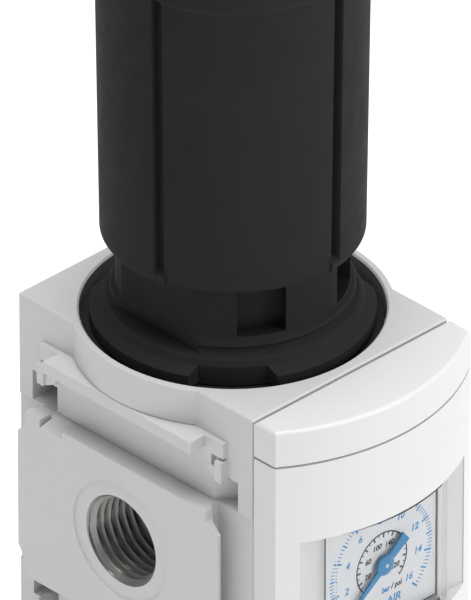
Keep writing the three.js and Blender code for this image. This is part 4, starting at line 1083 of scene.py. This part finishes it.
def bottom_plug():
    """The screw-in plug whose flange, grooved for grip, is the foot."""
    flange, top = foot_high.x, BASE - GAP
    shank = box_mm("plug_seal")[1].x
    seal_z = (box_mm("plug_seal")[0].z + box_mm("plug_seal")[1].z) / 2
    half_groove, groove_root = 1.05, shank - 1.8
    hole, hole_floor = 4.8, foot_high.z - 6
    profile = [
        (0, 0), (flange, 0, 0.8), (flange, top, 0.4), (shank, top), (shank, seal_z - half_groove),
        (groove_root, seal_z - half_groove), (groove_root, seal_z + half_groove),
        (shank, seal_z + half_groove), (shank, foot_high.z, 0.4), (hole, foot_high.z),
        (hole, hole_floor), (0, hole_floor),
    ]
    plug = turned([tuple(p) for p in rounded(profile, 4)], 128)
    for side in (-1, 1):
        cut(plug, block(side * (flange - 1.6), side * 20, -12, 12, 1.8, BASE, 0.15))
    grips = 24
    for k in range(grips):
        grip = block(flange - 0.35, flange + 1, -0.5, 0.5, 1.2, top - 0.8, 0.12)
        grip.data.transform(Matrix.Rotation(radians(360 / grips * (k + 0.5)), 4, "Z"))
        cut(plug, grip)
    return finish(plug, "foot_plug", [black_plastic], "housing", ["bottom_plug"])


def rear_plug():
    """The hexagon-socket stopper of the second gauge port."""
    low, high = box_mm("rear_plug")
    shank = box_mm("rear_plug_seal")[1].x
    head = high.y - 1.5
    profile = [
        (0, low.y), (shank, low.y, 0.3), (shank, head), (high.x, head, 0.2), (high.x, high.y, 0.35),
        (0, high.y),
    ]
    plug = turned([tuple(p) for p in rounded(profile, 4)], 96, "y", (0, GAUGE_Z))
    socket = 6 / sqrt(3)  # from 6 across its flats
    cut(plug, bar(socket, high.y - 3, high.y + 1, "y", (0, GAUGE_Z), sides=6))
    return finish(plug, "rear_stopper", [steel], "housing", ["rear_plug"])


# ---- Carried-over CAD pieces ----

SLOT_MATERIALS = {
    "grey_paint": grey_paint,
    "white_plastic": white_plastic,
    "black_plastic": black_plastic,
    "dial_face": dial_white,
    "needle_blue": needle_blue,
    "clear_lens": clear_lens,
    "brass": brass,
    "steel": steel,
    "rubber": rubber,
}


def paint_cad_nodes():
    slots = {row["node"]: row["material_slot"] for row in frame["record"]["subparts"]}
    for name, node in nodes.items():
        material = case_black if name == "gauge_case" else SLOT_MATERIALS[slots[name]]
        node.data.materials.clear()
        node.data.materials.append(material)


# ---- Stage, light and camera ----


def studio():
    floor = bpy.data.meshes.new("floor")
    reach = 6  # metres
    corners = [(-reach, -reach, 0), (reach, -reach, 0), (reach, reach, 0), (-reach, reach, 0)]
    floor.from_pydata(corners, [], [(0, 1, 2, 3)])
    plane = bpy.data.objects.new("floor", floor)
    bpy.context.scene.collection.objects.link(plane)
    pale = Nodes("pale_floor")
    pale.base(pale.ramp(pale.noise(3, 2), 0.965, 0.975))
    pale.rough(pale.ramp(pale.noise(5, 2), 0.8, 0.9))
    floor.materials.append(pale.material)

    world = bpy.data.worlds.new("studio")
    world.use_nodes = True
    background = world.node_tree.nodes["Background"]
    background.inputs["Color"].default_value = (1, 1, 1, 1)
    background.inputs["Strength"].default_value = 0.37
    bpy.context.scene.world = world
    centre = Vector((0, 0, TOP * MM))
    for name, place, size, power in (
        ("overhead", (-0.03, 0.0, 1.1), 0.9, 12.7),
        ("front", (0.45, -1.1, 0.55), 0.8, 7.5),
    ):
        lamp = bpy.data.lights.new(name, "AREA")
        lamp.shape = "DISK"
        lamp.size = size
        lamp.energy = power
        light = bpy.data.objects.new(name, lamp)
        bpy.context.scene.collection.objects.link(light)
        light.location = centre + Vector(place)
        light.rotation_euler = (centre - light.location).to_track_quat("-Z", "Y").to_euler()
    bpy.context.scene.view_settings.view_transform = "Standard"


def camera():
    """The camera looks at the knob's axis where it leaves the housing, from the gauge's left and above."""
    azimuth, elevation = radians(44.406), radians(32.276)
    distance, lens, sensor = 2.65, 1200.3, 36
    aside = Vector((0.354, 0.684)) * MM
    back = Vector((-sin(azimuth) * cos(elevation), -cos(azimuth) * cos(elevation), sin(elevation)))
    right = Vector((cos(azimuth), -sin(azimuth), 0))
    up = back.cross(right)
    eye = bpy.data.cameras.new("camera")
    eye.sensor_width = sensor
    eye.lens = lens
    eye.clip_end = 50
    holder = bpy.data.objects.new("camera", eye)
    bpy.context.scene.collection.objects.link(holder)
    place = Vector((0, 0, TOP * MM)) + back * distance + right * aside.x + up * aside.y
    turn = Matrix((right, up, back)).transposed().to_4x4()
    holder.matrix_world = Matrix.Translation(place) @ turn
    bpy.context.scene.camera = holder


paint_cad_nodes()
housing()
front_cover()
cover_lid()
gauge_dial()
dial_printing()
needle()
gauge_lens()
lens_gasket()
window_seal()
bonnet()
knob()
knob_cap()
bottom_plug()
rear_plug()
studio()
camera()
